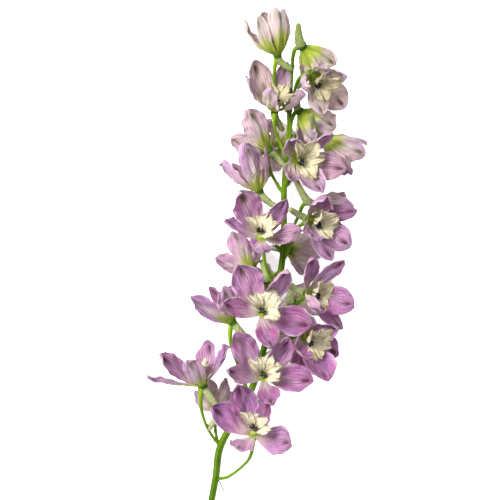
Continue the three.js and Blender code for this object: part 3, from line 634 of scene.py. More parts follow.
# %% [markdown]
# ## The lilac of a sepal
#
# A sepal isn't one lilac. It has clouds of a deeper and a paler tone, and fine darker veins
# run its whole length and lean together at both ends. As a vein is a line of constant v,
# the values u and v on the blade draw the veins with one sine each, and a little noise
# makes them wander. The youngest blooms at the top are bleached, nearly to cream.

# %% What every petal's finish starts from
CLOUD_SCALE, HUE_SCALE, PAINTED_SHEEN_SCALE = 130.0, 55.0, 1500.0  # of the noise, to a metre


class PetalFinish(Finish):
    """A finish for a thin blade, with the values that its colours are worked out from."""

    def __init__(self, name):
        super().__init__(name)
        self.u, self.v, self.seed = self.value("along"), self.value("across"), self.value("seed")
        self.edge, self.youth = abs(self.v), self.value("youth")

    def veins(self, seed, count, wander):
        """Thin lines along the blade: 1 on a vein, 0 between."""
        sway = self.noise(self.vector(self.u * 2.2, self.v * 2.5, seed), 1.6, 3.0) - 0.5
        return (1 - abs(((self.v + sway * wander) * (count * math.pi)).sine())) ** 2.6


class SepalFinish(PetalFinish):
    """The finish of one side of a sepal, with noise at the sizes of its clouds and its grain."""

    def __init__(self, name):
        super().__init__(name)
        self.cloud = self.noise(self.place, CLOUD_SCALE, 3.0)
        self.hue = self.noise(self.place, HUE_SCALE, 1.0)
        self.grain = self.noise(self.vector(self.u * 3, self.v * 16, self.seed), 3.0, 4.0, 0.6)
        self.painted_sheen = self.noise(self.place, PAINTED_SHEEN_SCALE, 2.0)


print("clouds about", round(1000 / CLOUD_SCALE), "mm across, satin about",
      round(1000 / PAINTED_SHEEN_SCALE, 1), "mm")

# %% Ground and veins
COOL_LILAC, PAINTED_SHEEN_WHITE = paint(178, 138, 208), paint(248, 222, 244)
CREAM_BLEACH, ROSE_BLEACH = paint(242, 230, 208), paint(226, 200, 216)
YOUNG_VEIN = paint(150, 110, 112)
BROAD_VEINS, FINE_VEINS, VEIN_WANDER = 5.5, 11, 0.2  # veins to either side of the middle


def lilac_ground(petal, deep, pale):
    """Clouds of deep and pale lilac, some of them cooler, and bleached by youth."""
    light = petal.value("shade") * 0.7 + petal.cloud.rise(0.3, 0.7) * 0.6 - 0.15
    cooler = petal.hue.rise(0.42, 0.62) * 0.3 + (petal.seed * 5.0).sine().rise(0.0, 0.8) * 0.15
    newest = petal.youth.rise(0.96, 1.0)
    rosy = petal.hue.rise(0.4, 0.6) * (1 - newest * 0.7)
    bleached = petal.blend(rosy, CREAM_BLEACH, ROSE_BLEACH)
    return petal.layered(
        deep, (light.rise(0.0, 1.0), pale), (cooler, COOL_LILAC),
        (petal.grain.rise(0.45, 0.75) * 0.35, pale),
        (petal.youth ** 1.4 * 0.76 + newest * 0.12, bleached))


def sepal_veins(petal):
    """Broad veins with finer ones between them, weaker at the rim and in some clouds."""
    broad = petal.veins(petal.seed, BROAD_VEINS, VEIN_WANDER) * 0.8
    fine = petal.veins(petal.seed + 3.7, FINE_VEINS, VEIN_WANDER) * petal.u.rise(0.1, 0.5) * 0.6
    at_rim, in_cloud = petal.edge.rise(0.8, 1.0), petal.cloud.rise(0.35, 0.6)
    return (broad + fine) * (1 - at_rim * 0.7) * (0.35 + 0.65 * in_cloud)


def veined(petal, tone, veins, vein):
    """The veins laid over the ground, and fine specks of painted sheen over both."""
    vein = petal.blend(petal.youth * 0.7, vein, YOUNG_VEIN)
    # pale specks of painted sheen, laid over the whole blade
    return petal.layered(tone, (veins * (0.66 - petal.youth * 0.16), vein),
                         (petal.painted_sheen.rise(0.42, 0.62) * 0.18, PAINTED_SHEEN_WHITE))


print("a sepal has about", round(2 * BROAD_VEINS), "broad veins and", 2 * FINE_VEINS, "fine")

# %% [markdown]
# ## Rim, claw, green and spot
#
# The rim of a sepal is pale in places, its pale margin with a painted highlight on it, and
# dark in others, a painted shade along its rolled edge. The claw fades to cream, and at its
# very root comes the yellow-green of the bud, most of all on blooms that are seen from
# behind, where a green rib may run up the middle. Just behind the tip sits a brown or olive
# streak, the last of the green bud. Each function below takes the colour so far and lays
# one of these over it.

# %% Overlays of a sepal
PALE_RIM_AND_HIGHLIGHT, PAINTED_RIM_SHADE, CLAW_CREAM = paint(244, 222, 238), paint(118, 62, 88), paint(242, 220, 212)
RIB_CREAM, RIB_GREEN = paint(244, 236, 230), paint(160, 174, 56)
YELLOW_GREEN, LIME, LEAF_GREEN = paint(208, 218, 98), paint(178, 204, 40), paint(66, 108, 4)
OLIVE = paint(100, 100, 20)
SPOT_AT, SPOT_BEHIND, SPOT_AHEAD = 0.86, 0.23, 0.09  # u of the spot, and its reach either way
SPOT_HALF_WIDTH = 0.3                                # in v


def rimmed(petal, tone, pale_reach):
    """Pale rim and highlight, painted rim shade, and a cream claw reaching as far as pale_reach."""
    # the pale rim: partly the sepal's own pale margin, partly a painted highlight on its edge
    pale = petal.edge.rise(0.86, 1.0) * petal.cloud.rise(0.3, 0.55)
    least = 0.42 + 0.12 * petal.youth
    # the dark rim is painted shade along the edge, where a rolled edge would darken it
    rim_shade = petal.edge.rise(0.88, 1.0) * (1 - petal.hue.rise(least, least + 0.1))
    past_claw = (petal.u - petal.grain * 0.12 - petal.youth * 0.2).rise(0.02, pale_reach)
    return petal.layered(tone, (pale * 0.75, PALE_RIM_AND_HIGHLIGHT), (rim_shade * 0.65, PAINTED_RIM_SHADE),
                         ((1 - past_claw) * (0.75 + petal.youth * 0.2), CLAW_CREAM))


def greened(petal, tone, rib_strength, reach, lean):
    """The green of the bud: how far it reaches, and how much sooner it ends at the edges."""
    u, edge, green = petal.u, petal.edge, petal.value("green")
    rooted = (u + edge * lean + petal.grain * 0.12) / (0.65 + 0.7 * green)
    leafy = petal.value("leaf") * (1 - (u + edge * 0.3).rise(0.15, 0.7))
    budlike = (1 - rooted.rise(reach * 0.2, reach) + leafy).rise(0.05, 0.9)
    band = (1 - edge.rise(0.05, 0.5)) * (1 - u.rise(0.45, 0.9))
    rib = (1 - edge.rise(0.02, 0.1 + 0.16 * (1 - u))) * (1 - u.rise(0.35, 0.8 + 0.4 * petal.youth))
    return petal.layered(
        tone, (band * rib_strength * 0.8, RIB_CREAM), (budlike * 0.95, YELLOW_GREEN),
        (1 - rooted.rise(reach * 0.1, reach * 0.7), LIME),
        ((1 - rooted.rise(0.0, reach * 0.3)) * rib_strength * 0.8, LEAF_GREEN),
        (rib * rib_strength * (0.2 + 0.8 * green), RIB_GREEN))


def spotted(petal, tone, fresh_spot):
    """The streak behind the tip, longer on the side of the root."""
    behind, ahead = (SPOT_AT - petal.u) / SPOT_BEHIND, (petal.u - SPOT_AT) / SPOT_AHEAD
    reach = behind.math("MAXIMUM", behind, ahead)
    away = ((reach * reach + (petal.v / SPOT_HALF_WIDTH) ** 2.0) ** 0.5
            + (petal.grain - 0.5) * 1.2 + (petal.cloud - 0.5) * 0.6)
    streak = petal.blend(petal.value("olive"), fresh_spot, OLIVE)
    return petal.blend((1 - away.rise(0.05, 1.15)) * petal.value("spot"), tone, streak)


print("the spot lies from", round(SPOT_AT - SPOT_BEHIND, 2), "to", round(SPOT_AT + SPOT_AHEAD, 2))


# %% Lilac inside, paler outside
def sepal_finish(name, deep, pale, vein, fresh_spot, rib_strength, green_reach, green_lean,
                 pale_reach):
    petal = SepalFinish(name)
    veins = sepal_veins(petal)
    tone = veined(petal, lilac_ground(petal, deep, pale), veins, vein)
    tone = rimmed(petal, tone, pale_reach)
    tone = greened(petal, tone, rib_strength, green_reach, green_lean)
    tone = spotted(petal, tone, fresh_spot)
    relief = petal.grain * 0.4 - veins * 0.9 + petal.cloud * 0.5
    return petal.show(tone, 0.55 - veins * 0.08, relief, 0.001, glow=0.37,
                      **{"Specular IOR Level": 0.2, "Sheen Weight": 0.04, "Sheen Roughness": 0.4})


sepal_inside = sepal_finish(
    "sepal_inside", deep=paint(190, 102, 166), pale=paint(234, 182, 219),
    vein=paint(124, 34, 102), fresh_spot=paint(98, 40, 52),
    rib_strength=0.1, green_reach=0.26, green_lean=0.06, pale_reach=0.36)
sepal_outside = sepal_finish(
    "sepal_outside", deep=paint(210, 142, 186), pale=paint(242, 208, 222),
    vein=paint(158, 80, 134), fresh_spot=paint(104, 92, 30),
    rib_strength=0.75, green_reach=0.62, green_lean=0.12, pale_reach=0.62)
print("sepal finishes of", len(sepal_inside.node_tree.nodes), "nodes each")

# %% [markdown]
# ## The spur and the receptacle
#
# The spur is a hollow horn, grey-green with a breath of lilac, and its skin is finely
# wrinkled. Where the sepals meet the stalk the green is fresh. The value u, which here runs
# from the receptacle to the spur's tip, carries the change of colour.

# %% Spur skin
SPUR_GREEN, SPUR_OLIVE = paint(172, 182, 124), paint(150, 148, 104)
SPUR_LILAC, YOUNG_SPUR = paint(190, 164, 178), paint(98, 116, 40)
DARK_WRINKLE, PALE_WRINKLE = paint(88, 100, 34), paint(186, 194, 144)
RECEPTACLE_GREEN, THROAT_GREEN = paint(50, 88, 4), paint(176, 180, 90)


def spur_finish():
    bench = Finish("spur_skin")
    u, youth = bench.value("along"), bench.value("youth")
    mottle = bench.noise(bench.place, 900.0, 4.0, 0.65)
    cloud = bench.noise(bench.place, 160.0, 2.0)
    tone = bench.layered(
        SPUR_GREEN, (u.rise(0.5, 1.0) * 0.6, SPUR_OLIVE),
        (cloud.rise(0.45, 0.7) * 0.3, SPUR_LILAC), (youth * 0.75, YOUNG_SPUR),
        (mottle.rise(0.48, 0.66) * (0.4 + 0.3 * youth), DARK_WRINKLE),
        ((1 - mottle.rise(0.34, 0.46)) * (0.5 - 0.3 * youth), PALE_WRINKLE),
        (1 - u.rise(0.0, 0.22), RECEPTACLE_GREEN), (1 - u.rise(-0.18, -0.1), THROAT_GREEN))
    return bench.show(tone, 0.65 - mottle * 0.1, mottle, 0.0011, **{"Specular IOR Level": 0.12})


spur_skin = spur_finish()
print("spur skin of", len(spur_skin.node_tree.nodes), "nodes")

# %% [markdown]
# ## The bee and its anthers
#
# The bee's petals are cream, almost white on their ruffles and yellow-green in the throat,
# with painted shade in their folds and along their rims and tips, and they carry soft hairs.
# The anthers are blue-black with a dusting of pollen.

# %% Cream petals, hairs and anthers
CREAM, WHITE_CREAM, YOUNG_CREAM = paint(232, 218, 176), paint(250, 243, 222), paint(206, 194, 142)
CREAM_VEIN, DEEP_THROAT = paint(172, 148, 96), paint(158, 156, 76)
FOLD_SHADE_BROWN, BEE_RIM_SHADE = paint(128, 96, 62), paint(150, 124, 82)


def bee_finish():
    petal = PetalFinish("bee_cream")
    u, edge = petal.u, petal.edge
    cloud = petal.noise(petal.place, 420.0, 3.0)
    veins = petal.veins(petal.seed, 5, 0.22)
    # painted shade down the crease of a folded petal
    painted_fold_shade = petal.value("fold") * (1 - edge.rise(0.05, 0.2)) * u.rise(0.35, 0.9)
    # patches of painted shade, tan, for the rims and the tips of the bee's petals
    dry_and_shade = cloud.rise(0.4, 0.6) * 0.5
    tone = petal.layered(
        CREAM, (cloud.rise(0.3, 0.7), WHITE_CREAM), (petal.youth * 0.6, YOUNG_CREAM),
        (veins * 0.5, CREAM_VEIN), ((1 - u.rise(0.05, 0.5)) * 0.85, DEEP_THROAT),
        (painted_fold_shade * 0.7, FOLD_SHADE_BROWN), (edge.rise(0.82, 1.0) * dry_and_shade, BEE_RIM_SHADE),
        # painted shade at the tips of the petals
        (u.rise(0.93, 1.0) * dry_and_shade, BEE_RIM_SHADE))
    relief = cloud * 0.5 - veins * 0.6
    return petal.show(tone, 0.6, relief, 0.0004, glow=0.28, **{"Specular IOR Level": 0.3})


def hair_finish():
    bench = Finish("bee_hair")
    tone = bench.blend(bench.noise(bench.place, 600.0), paint(236, 228, 196), paint(250, 248, 236))
    return bench.show(tone, 0.5, glow=0.3)


def anther_finish():
    bench = Finish("anther_black")
    dust = bench.noise(bench.place, 2600.0, 3.0)
    tone = bench.layered(paint(8, 7, 20), (bench.noise(bench.place, 700.0), paint(24, 20, 42)),
                         (dust.rise(0.62, 0.72) * 0.35, paint(110, 104, 96)))
    return bench.show(tone, 0.45 + dust * 0.2, dust, 0.0002, **{"Specular IOR Level": 0.3})


bee_cream, bee_hair, anther_black = bee_finish(), hair_finish(), anther_finish()
print("finishes so far:", len(bpy.data.materials))

# %% [markdown]
# ## Green stems
#
# The stem and the stalks are a fresh yellow-green with fine lengthwise ribs. The ribs are
# paler on their crests, and the skin is mottled at a scale of about a millimetre. The
# stalks are fresher than the stem, most of all under their blooms, and those on the right
# of the spike are painted a dark green, a painted shade. The bracts are the same green and
# brown a little towards their tips.

# %% Green
STEM_DARK, STEM_LIGHT, CREST_GREEN = paint(52, 84, 2), paint(84, 114, 6), paint(118, 146, 26)
MOTTLE_GREEN, DRY_BROWN = paint(38, 68, 6), paint(110, 92, 44)
FRESH_GREEN, PAINTED_SHADE_GREEN = paint(146, 180, 34), paint(44, 78, 6)
PAINTED_SHADE_FROM, PAINTED_SHADE_FULL = 0.019, 0.023  # across the spike, in metres


def green_finish():
    bench = Finish("stem_green")
    u, round_it, fresh = bench.value("along"), bench.value("around"), bench.value("fresh")
    mottle = bench.noise(bench.place, 1100.0, 4.0, 0.6)
    cloud = bench.noise(bench.place, 90.0, 2.0)
    crest = ((round_it * (2 * math.pi * 6)).sine() * 0.5 + 0.5) ** 2.0
    under_bloom = u.rise(0.6, 1.0)
    # painted shade: the stalks right of the stem are painted a darker green
    painted_shade_right = bench.node("ShaderNodeSeparateXYZ", {}, {0: bench.place}).rise(PAINTED_SHADE_FROM, PAINTED_SHADE_FULL)
    tone = bench.layered(
        STEM_DARK, (cloud.rise(0.35, 0.65), STEM_LIGHT), (crest * 0.32, CREST_GREEN),
        (mottle.rise(0.5, 0.8) * 0.35, MOTTLE_GREEN),
        (bench.value("dry_and_shade") * u.rise(0.85, 1.0) * 0.6, DRY_BROWN),
        (fresh * (0.24 + 0.4 * under_bloom), FRESH_GREEN),
        # the painted shade on the stalks right of the stem
        (fresh * painted_shade_right * (0.75 - 0.4 * under_bloom), PAINTED_SHADE_GREEN))
    return bench.show(tone, 0.5 - mottle * 0.1, mottle + crest * 0.4, 0.0003,
                      **{"Specular IOR Level": 0.1})


stem_green = green_finish()
print("stem green of", len(stem_green.node_tree.nodes), "nodes")

# %% [markdown]
# ## Sepals, receptacle and spur of each bloom
#
# One piece for each bloom holds its five sepals, the receptacle where they meet, and the
# spur. The receptacle and the spur are one tube of rings: it starts as a closed dome in
# front, swells where the claws of the sepals sink into it, and narrows into the spur, which
# follows a curve from straight behind the bloom round to where its tip hangs. A stout spur
# starts wider than the others. Spurs that nobody sees stand off the upper side of the bloom.

# %% Receptacle and spur
SPUR_BASE_RADIUS, SPUR_TIP_RADIUS = 2.4, 1.6
SPUR_SIDES, SPUR_STEPS = 20, 18
RECEPTACLE_BACK = 2.4
HIDDEN_SPUR = (11.05, 6.5)  # how far its tip stands upward of the receptacle and behind it
# radius, and height in front of the receptacle's centre
DOME = [(0.02, 0.1), (0.9, 0.15), (1.7, 0.2), (2.3, 0.1), (2.75, -0.4), (2.8, -1.0), (2.5, -1.8)]
# lift past the tip in radii, and radius as a share of the last ring's
CAP = [(0.56, 0.8), (0.88, 0.45), (0.992, 0.02)]
WRINKLE, FINE_WRINKLE = 0.05, 0.04  # heights as shares of the radius


def spur_tip(bloom):
    if "spur" in bloom:
        return np.array(bloom["spur"], float)
    faces = unit(bloom["faces"])
    upward, behind = HIDDEN_SPUR
    return bloom["receptacle"] + upward_of(faces) * upward - faces * behind


def spur_path(bloom):
    """Places along the spur, its direction at each, and its radius there."""
    faces, tip = unit(bloom["faces"]), spur_tip(bloom)
    start = bloom["receptacle"] - faces * RECEPTACLE_BACK
    bend = start - faces * 0.3 * np.linalg.norm(tip - start)
    t = np.linspace(0, 1, SPUR_STEPS)[:, None]
    path = start * (1 - t) ** 2 + bend * 2 * t * (1 - t) + tip * t**2
    slope = (bend - start) * 2 * (1 - t) + (tip - bend) * 2 * t
    radius = (SPUR_BASE_RADIUS * (1 + bloom.get("stout", 0) * (1 - t))
              + (SPUR_TIP_RADIUS - SPUR_BASE_RADIUS) * t**2)
    return zip(path, slope, radius[:, 0], t[:, 0])


def spur_ring(centre, radius, side, way):
    """Points round a centre. The radius is one number, or one for each point."""
    swing = 2 * math.pi * np.arange(SPUR_SIDES) / SPUR_SIDES
    rim = np.cos(swing)[:, None] * side + np.sin(swing)[:, None] * np.cross(way, side)
    return centre + np.reshape(radius, (-1, 1)) * rim


def wrinkled(radius, share):
    """The radius of each point of a ring, with low wrinkles that wind round the spur."""
    swing = 2 * math.pi * np.arange(SPUR_SIDES) / SPUR_SIDES
    return radius * (1 + WRINKLE * np.sin(3 * swing + 9 * share) * np.sin(14 * share)
                     + FINE_WRINKLE * np.sin(5 * swing - 31 * share))


def add_spur(skin, bloom, **values):
    faces = unit(bloom["faces"])
    side = upward_of(faces)
    rings = [spur_ring(bloom["receptacle"] + faces * height, radius, side, -faces)
             for radius, height in DOME]
    along = [-0.1 * (height - DOME[-1][1]) for _, height in DOME]
    for place, way, radius, share in spur_path(bloom):
        way = unit(way)
        side = unit(side - way * (side @ way))
        rings.append(spur_ring(place, wrinkled(radius, share), side, way))
        along.append(share)
    last_ring = rings[-1] - place
    for lift, shrink in CAP:
        rings.append(place + way * lift * SPUR_TIP_RADIUS + last_ring * shrink)
        along.append(1.0)
    walls = []
    for ring in range(len(rings) - 1):
        for k in range(SPUR_SIDES):
            a, b = ring * SPUR_SIDES + k, ring * SPUR_SIDES + (k + 1) % SPUR_SIDES
            walls.append((a, b, b + SPUR_SIDES, a + SPUR_SIDES))
    last = (len(rings) - 1) * SPUR_SIDES
    walls += [tuple(range(SPUR_SIDES))[::-1], tuple(range(last, last + SPUR_SIDES))]
    skin.add(np.vstack(rings), walls, [2] * len(walls),
             along=np.repeat(along, SPUR_SIDES), across=0, **values)


print("spurs of", len(DOME) + SPUR_STEPS + len(CAP), "rings of", SPUR_SIDES, "points")

# %% [markdown]
# ## Growing the blooms
#
# A bloom's youth goes from 0 at the foot of the spike to 1 at its top, where the blooms
# opened last. The other looks of a sepal are drawn from its bloom's seeded stream: how pale
# it is, which veins it has, how strong and how olive its spot is, and whether the green
# runs up it like a leaf. The blooms that lie underneath are painted pale and without green,
# a painted light against the shade that they lie in.

# %% Every bloom
SEPAL_THICKNESS = 0.5
YOUTH_FROM, YOUTH_TO = -15, 135  # up the spike
OPEN_WIDE = 0.5                  # a bloom that faces up more than this shows its inside
# the least youth of a bloom underneath paints it paler, a painted light against its shade
BELL_GREEN, UNDER_PAINTED_LIGHT = 0.45, 0.45


def youth_of(bloom):
    return float(ease(bloom["receptacle"][1], YOUTH_FROM, YOUTH_TO))


def sepal_looks(bloom, looks):
    """The values that the finishes read on one sepal, all but u and v."""
    youth, hidden, open_wide = youth_of(bloom), "under" in bloom, bloom["faces"][2] > OPEN_WIDE
    # the blooms underneath are painted paler and without green: painted light for their shade
    shade, seed = max(looks.draw(), hidden), 10 * looks.draw()
    spot = (0.75 + 0.25 * looks.draw()) * (0.3 if hidden else 1)
    olive = float(looks.draw() < 0.3 + 0.5 * youth)
    leaf = (max(0.0, 0.9 * looks.draw() - 0.5) + 0.5 * youth * looks.draw()
            + 0.4 * float(ease(youth, 0.9, 1.0)))
    green = youth if open_wide else max(youth, BELL_GREEN)
    return dict(shade=shade, seed=seed, youth=max(youth, UNDER_PAINTED_LIGHT * hidden), spot=spot,
                olive=olive, green=green * (not hidden),
                leaf=leaf * (not hidden) * (0.4 if open_wide else 1))


def grow_bloom(number, bloom):
    skin, chance, looks = Skin(), Chance(number), Chance(number + 500)
    # from just inside the receptacle to just short of the tip, closer together near it
    u = -0.07 + 1.067 * (1 - (1 - np.linspace(0, 1, ALONG_STEPS + 1)) ** 1.4)
    v = np.linspace(-1, 1, ACROSS_STEPS + 1)
    for blade, outward in sepals_in_slots(bloom):
        surface = sepal_surface(bloom, blade, outward, chance)
        thin_blade(skin, surface, u, v, SEPAL_THICKNESS, [0, 1], **sepal_looks(bloom, looks))
    add_spur(skin, bloom, shade=0.5, seed=0, youth=youth_of(bloom), spot=0, olive=0, green=0,
             leaf=0)
    made = skin.piece(f"sepals_{number:02d}", [sepal_inside, sepal_outside, spur_skin])
    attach(made, "root")
    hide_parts(f"bloom_{number:02d}")
    return made


corollas = [grow_bloom(number, bloom) for number, bloom in enumerate(BLOOMS, 1)]
print(len(corollas), "blooms of about", len(corollas[0].data.polygons), "faces")

# %% [markdown]
# ## The petals of a bee
#
# Inside the sepals stand a few small petals, so ruffled and notched that together they look
# like one cream tuft. Six blades make them. They are surfaces on u and v as the sepals are,
# with other rules: a narrow claw in the throat, a broad end with a notch in it, teeth along
# the rim, deep waves, and a tip that curls back. Two are folded sharply along their middle.

# %% Bee petals
BEE_FLOOR = 4.6  # where the petals leave the throat, in front of the receptacle's centre
BEE_PETALS = [  # turn from the upper side, reach, width, depth of the notch, fold
    (68, 12.6, 5.2, 0.0, 1.0), (44, 11.2, 4.6, 0.05, 0.7), (-7, 13.2, 10.4, 0.12, 0.15),
    (-50, 12.4, 6.6, 0.15, 0.45), (-104, 12.4, 9.2, 0.3, 0.0), (-76, 8.0, 5.0, 0.1, 0.3),
]
BEE_STEPS = 26
BEE_THICKNESS = 0.4
TEETH = 23  # across the end of a petal, and along each of its sides
END_TOOTH, SIDE_TOOTH = 0.17, 0.45  # as shares of a petal's reach and of half its width
NOTCH_WIDTH, FOLDS, CURL = 0.22, 7, 0.2
TURN_STRAY = 22  # degrees
LEAST_SPLAY, MOST_SPLAY = math.radians(18), math.radians(58)


def bee_splay(bloom):
    """How far the bee opens from the way that the bloom faces: a little less than the sepals."""
    faces = unit(bloom["faces"])
    openings = [math.acos(unit(np.subtract(blade["tip"], bloom["receptacle"])) @ faces)
                for blade in sepals_of(bloom)]
    return min(max(0.8 * sum(openings) / len(openings), LEAST_SPLAY), MOST_SPLAY)


def bee_upward(faces):
    """The way across the bloom that the bee's upper petals point: leaning in, if seen aslant."""
    leaning = np.array([0.35 + 1.6 * max(0, faces[0] - 0.1), 1, 0])
    return unit(leaning - faces * (leaning @ faces))


def bee_surface(bloom, turn, reach, width, notch, fold, chance):
    faces = unit(bloom["faces"])
    outward = turned(bee_upward(faces), faces,
                     math.radians(turn + TURN_STRAY * (chance.draw() - 0.5)))
    splay = bee_splay(bloom) * (0.85 + 0.25 * chance.draw())
    start = bloom["receptacle"] + faces * (BEE_FLOOR - 1.4) + outward * 0.8
    direction = outward * math.sin(splay) + faces * math.cos(splay)
    rising = faces * math.sin(splay) - outward * math.cos(splay)
    side = np.cross(rising, direction)
    lean = 0.6 * (chance.draw() - 0.5)
    end_teeth = [tooth - 0.5 for tooth in chance.draws(TEETH)]
    side_teeth = [[tooth - 0.5 for tooth in chance.draws(TEETH)] for _ in range(2)]
    folds = [(3 + 15 * chance.draw(), 14 * (chance.draw() - 0.5), TURN * chance.draw())
             for _ in range(FOLDS)]
    narrow = 0.75 + 0.25 * splay

    def half_width(u, v):
        torn = by_half(v, *(np.interp(u, np.linspace(0, 1, TEETH), teeth) for teeth in side_teeth))
        belly = (0.2 + 0.8 * ease(u, 0.05, 0.55)) * np.sqrt(
            1 - (np.clip(u - 0.62, 0, 0.38) / 0.42) ** 2)
        return width * narrow / 2 * belly * (1 + SIDE_TOOTH * torn * v**4 * ease(u, 0.2, 0.5))

    def lift(u, v):
        crumple = sum(np.sin(along * u + across * v + phase) / (2 + 0.1 * (along + abs(across)))
                      for along, across, phase in folds)
        ripples = width * u * (0.06 * crumple + 0.12 * v**2 * np.sin(7 * u + folds[0][2])
                               + 0.03 * np.sin(13 * v + folds[1][2]))
        cup = (0.2 + 0.5 * fold) * width / 2 * np.abs(v) ** 1.4 * ease(u, 0, 0.5)
        curl = CURL * reach * ease(u, 0.55, 1.1) ** 1.5
        return cup + ripples - curl

    def surface(u, v):
        teeth = np.interp(v, np.linspace(-1, 1, TEETH), end_teeth)
        notched = notch * np.exp(-((v - lean * 0.4) / NOTCH_WIDTH) ** 2)
        ends = 1 - notched - 0.1 * v**2 + END_TOOTH * teeth * ease(u, 0.7, 1.0)
        return (start + direction * (reach * narrow * 1.06 * u * ends)[..., None]
                + side * (half_width(u, v) * v + lean * width * 0.3 * u**2)[..., None]
                + rising * lift(u, v)[..., None])

    return surface


print("bloom 1's bee opens by", round(math.degrees(bee_splay(first_bloom))), "degrees")

# %% Every bee
# painted shade: a bee that faces away from the window gets the darker cream of a young bee
PAINTED_SHADE_FACING = 0.3  # a bloom that faces more to the right than this shows a darker, younger bee


def grow_bee(number, bloom):
    skin, chance, size = Skin(), Chance(number + 900), bloom.get("bee", 1)
    # the darker young cream here is painted shade on blooms that face right
    youth = max(youth_of(bloom), 0.5 * (bloom["faces"][0] > PAINTED_SHADE_FACING))
    u = np.linspace(0, 1, BEE_STEPS + 1) ** 0.9
    v = np.linspace(-1, 1, BEE_STEPS + 1)
    for turn, reach, width, notch, fold in BEE_PETALS:
        surface = bee_surface(bloom, turn, reach * size, width * size, notch, fold, chance)
        thin_blade(skin, surface, u, v, BEE_THICKNESS, [0, 0], seed=10 * chance.draw(),
                   youth=youth, fold=fold)
    made = skin.piece(f"eye_{number:02d}", [bee_cream])
    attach(made, "root")
    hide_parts(f"bee_{number:02d}")
    return made


open_blooms = [(number, bloom) for number, bloom in enumerate(BLOOMS, 1) if "under" not in bloom]
bees = [grow_bee(number, bloom) for number, bloom in open_blooms]
print(len(bees), "bees of", len(bees[0].data.polygons), "faces")

# %% [markdown]
# ## Trees that grow what repeats
#
# Anthers, hairs, stalks and bracts repeat by the hundred or follow a line, which is what
# Geometry Nodes are for. Each tree below is built once with named inputs for its sizes. It
# is then run on a bare skeleton, lines or points, and the outcome is kept as a plain mesh.
# Two steps come in more than one tree: sweeping a ring along a line, and setting copies of
# one small shape on points, each turned along a direction.


# %% Trees and how they are run
class GrowingTree(Bench):
    """A Geometry Nodes tree with named inputs."""

    KINDS = {float: "NodeSocketFloat", int: "NodeSocketInt"}

    def __init__(self, name, **sizes):
        super().__init__(bpy.data.node_groups.new(name, "GeometryNodeTree"))
        face = self.tree.interface
        face.new_socket("Geometry", in_out="INPUT", socket_type="NodeSocketGeometry")
        face.new_socket("Geometry", in_out="OUTPUT", socket_type="NodeSocketGeometry")
        for label, size in sizes.items():
            socket = face.new_socket(label, in_out="INPUT", socket_type=self.KINDS[type(size)])
            socket.default_value = size
        self.inside = self.tree.nodes.new("NodeGroupInput")
        self.skeleton = self.size("Geometry")

    def size(self, label):
        """What comes in under this name."""
        return Wire(self, self.inside.outputs[label])

    def named(self, label, kind="FLOAT"):
        """What a point of the skeleton keeps under this name."""
        return self.node("GeometryNodeInputNamedAttribute", {"data_type": kind}, {"Name": label})

    def keep(self, geometry, label, value):
        """Store a value on every point under a name that the finishes read."""
        return self.node("GeometryNodeStoreNamedAttribute", {"data_type": "FLOAT"},
                         {"Geometry": geometry, "Name": label, "Value": value})

    def ring(self, sides):
        return self.node("GeometryNodeCurvePrimitiveCircle", {},
                         {"Resolution": sides, "Radius": 1.0})

    def sweep(self, line, ring, radius):
        """A closed tube along a line."""
        return self.node("GeometryNodeCurveToMesh", {}, {
            "Curve": line, "Profile Curve": ring, "Scale": radius, "Fill Caps": True})

    def copies(self, points, shape, along, size, **more):
        """A copy of a shape on every point, its length laid along a direction."""
        laid = self.node("FunctionNodeAlignRotationToVector", {"axis": "Z"}, {"Vector": along})
        return self.node("GeometryNodeInstanceOnPoints", {}, {
            "Points": points, "Instance": shape, "Rotation": laid, "Scale": size, **more})

    def finish(self, geometry, *dressings):
        """Realize, then set one material for all and others where a value is above a half."""
        shown = self.node("GeometryNodeRealizeInstances", {}, {"Geometry": geometry})
        shown = self.node("GeometryNodeSetShadeSmooth", {}, {"Geometry": shown})
        for material, where in dressings:
            inputs = {"Geometry": shown, "Material": material}
            if where:
                inputs["Selection"] = self.named(where).math("GREATER_THAN", self.named(where), 0.5)
            shown = self.node("GeometryNodeSetMaterial", {}, inputs)
        out = self.tree.nodes.new("NodeGroupOutput")
        self.tree.links.new(shown.socket, out.inputs[0])
        return self

    def grow(self, name, source, **sizes):
        """Run the tree on a source object and keep the outcome as a plain mesh."""
        modifier = source.modifiers.new("tree", "NODES")
        modifier.node_group = self.tree
        for item in self.tree.interface.items_tree:
            if item.name in sizes:
                modifier[item.identifier] = sizes[item.name]
        evaluated = source.evaluated_get(bpy.context.evaluated_depsgraph_get())
        made = placed(name, bpy.data.meshes.new_from_object(evaluated))
        bpy.data.objects.remove(source)
        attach(made, "root")
        print(name, "has", len(made.data.polygons), "faces")
        return made


print("a size of a tree may be", " or ".join(kind.__name__ for kind in GrowingTree.KINDS))


# %% Skeletons of lines
def line_skeleton(name, routes):
    """A curve object with a line for each route. A point is x, y, z and radius, in mm."""
    data = bpy.data.curves.new(name, "CURVE")
    data.dimensions = "3D"
    for route in routes:
        line = data.splines.new("POLY")
        line.points.add(len(route) - 1)
        for point, (x, y, z, radius) in zip(line.points, route):
            point.co = (x * MM, y * MM, z * MM, 1)
            point.radius = radius * MM
    return placed(name, data)


stem_steps = np.diff([point[:3] for point in STEM], axis=0)
print("the line of the stem is", round(np.linalg.norm(stem_steps, axis=1).sum()), "mm long")

# %% [markdown]
# ## Stamens
#
# Thirteen stamens stand in the throat of each bloom. A stamen is a thin filament that
# carries an anther at its end, so one tree sweeps a tube along each line and puts a small
# ellipsoid at the line's last point, laid along the filament. The stamens follow the
# sunflower's rule, each a good third of a turn on from the last, so that none hides another.


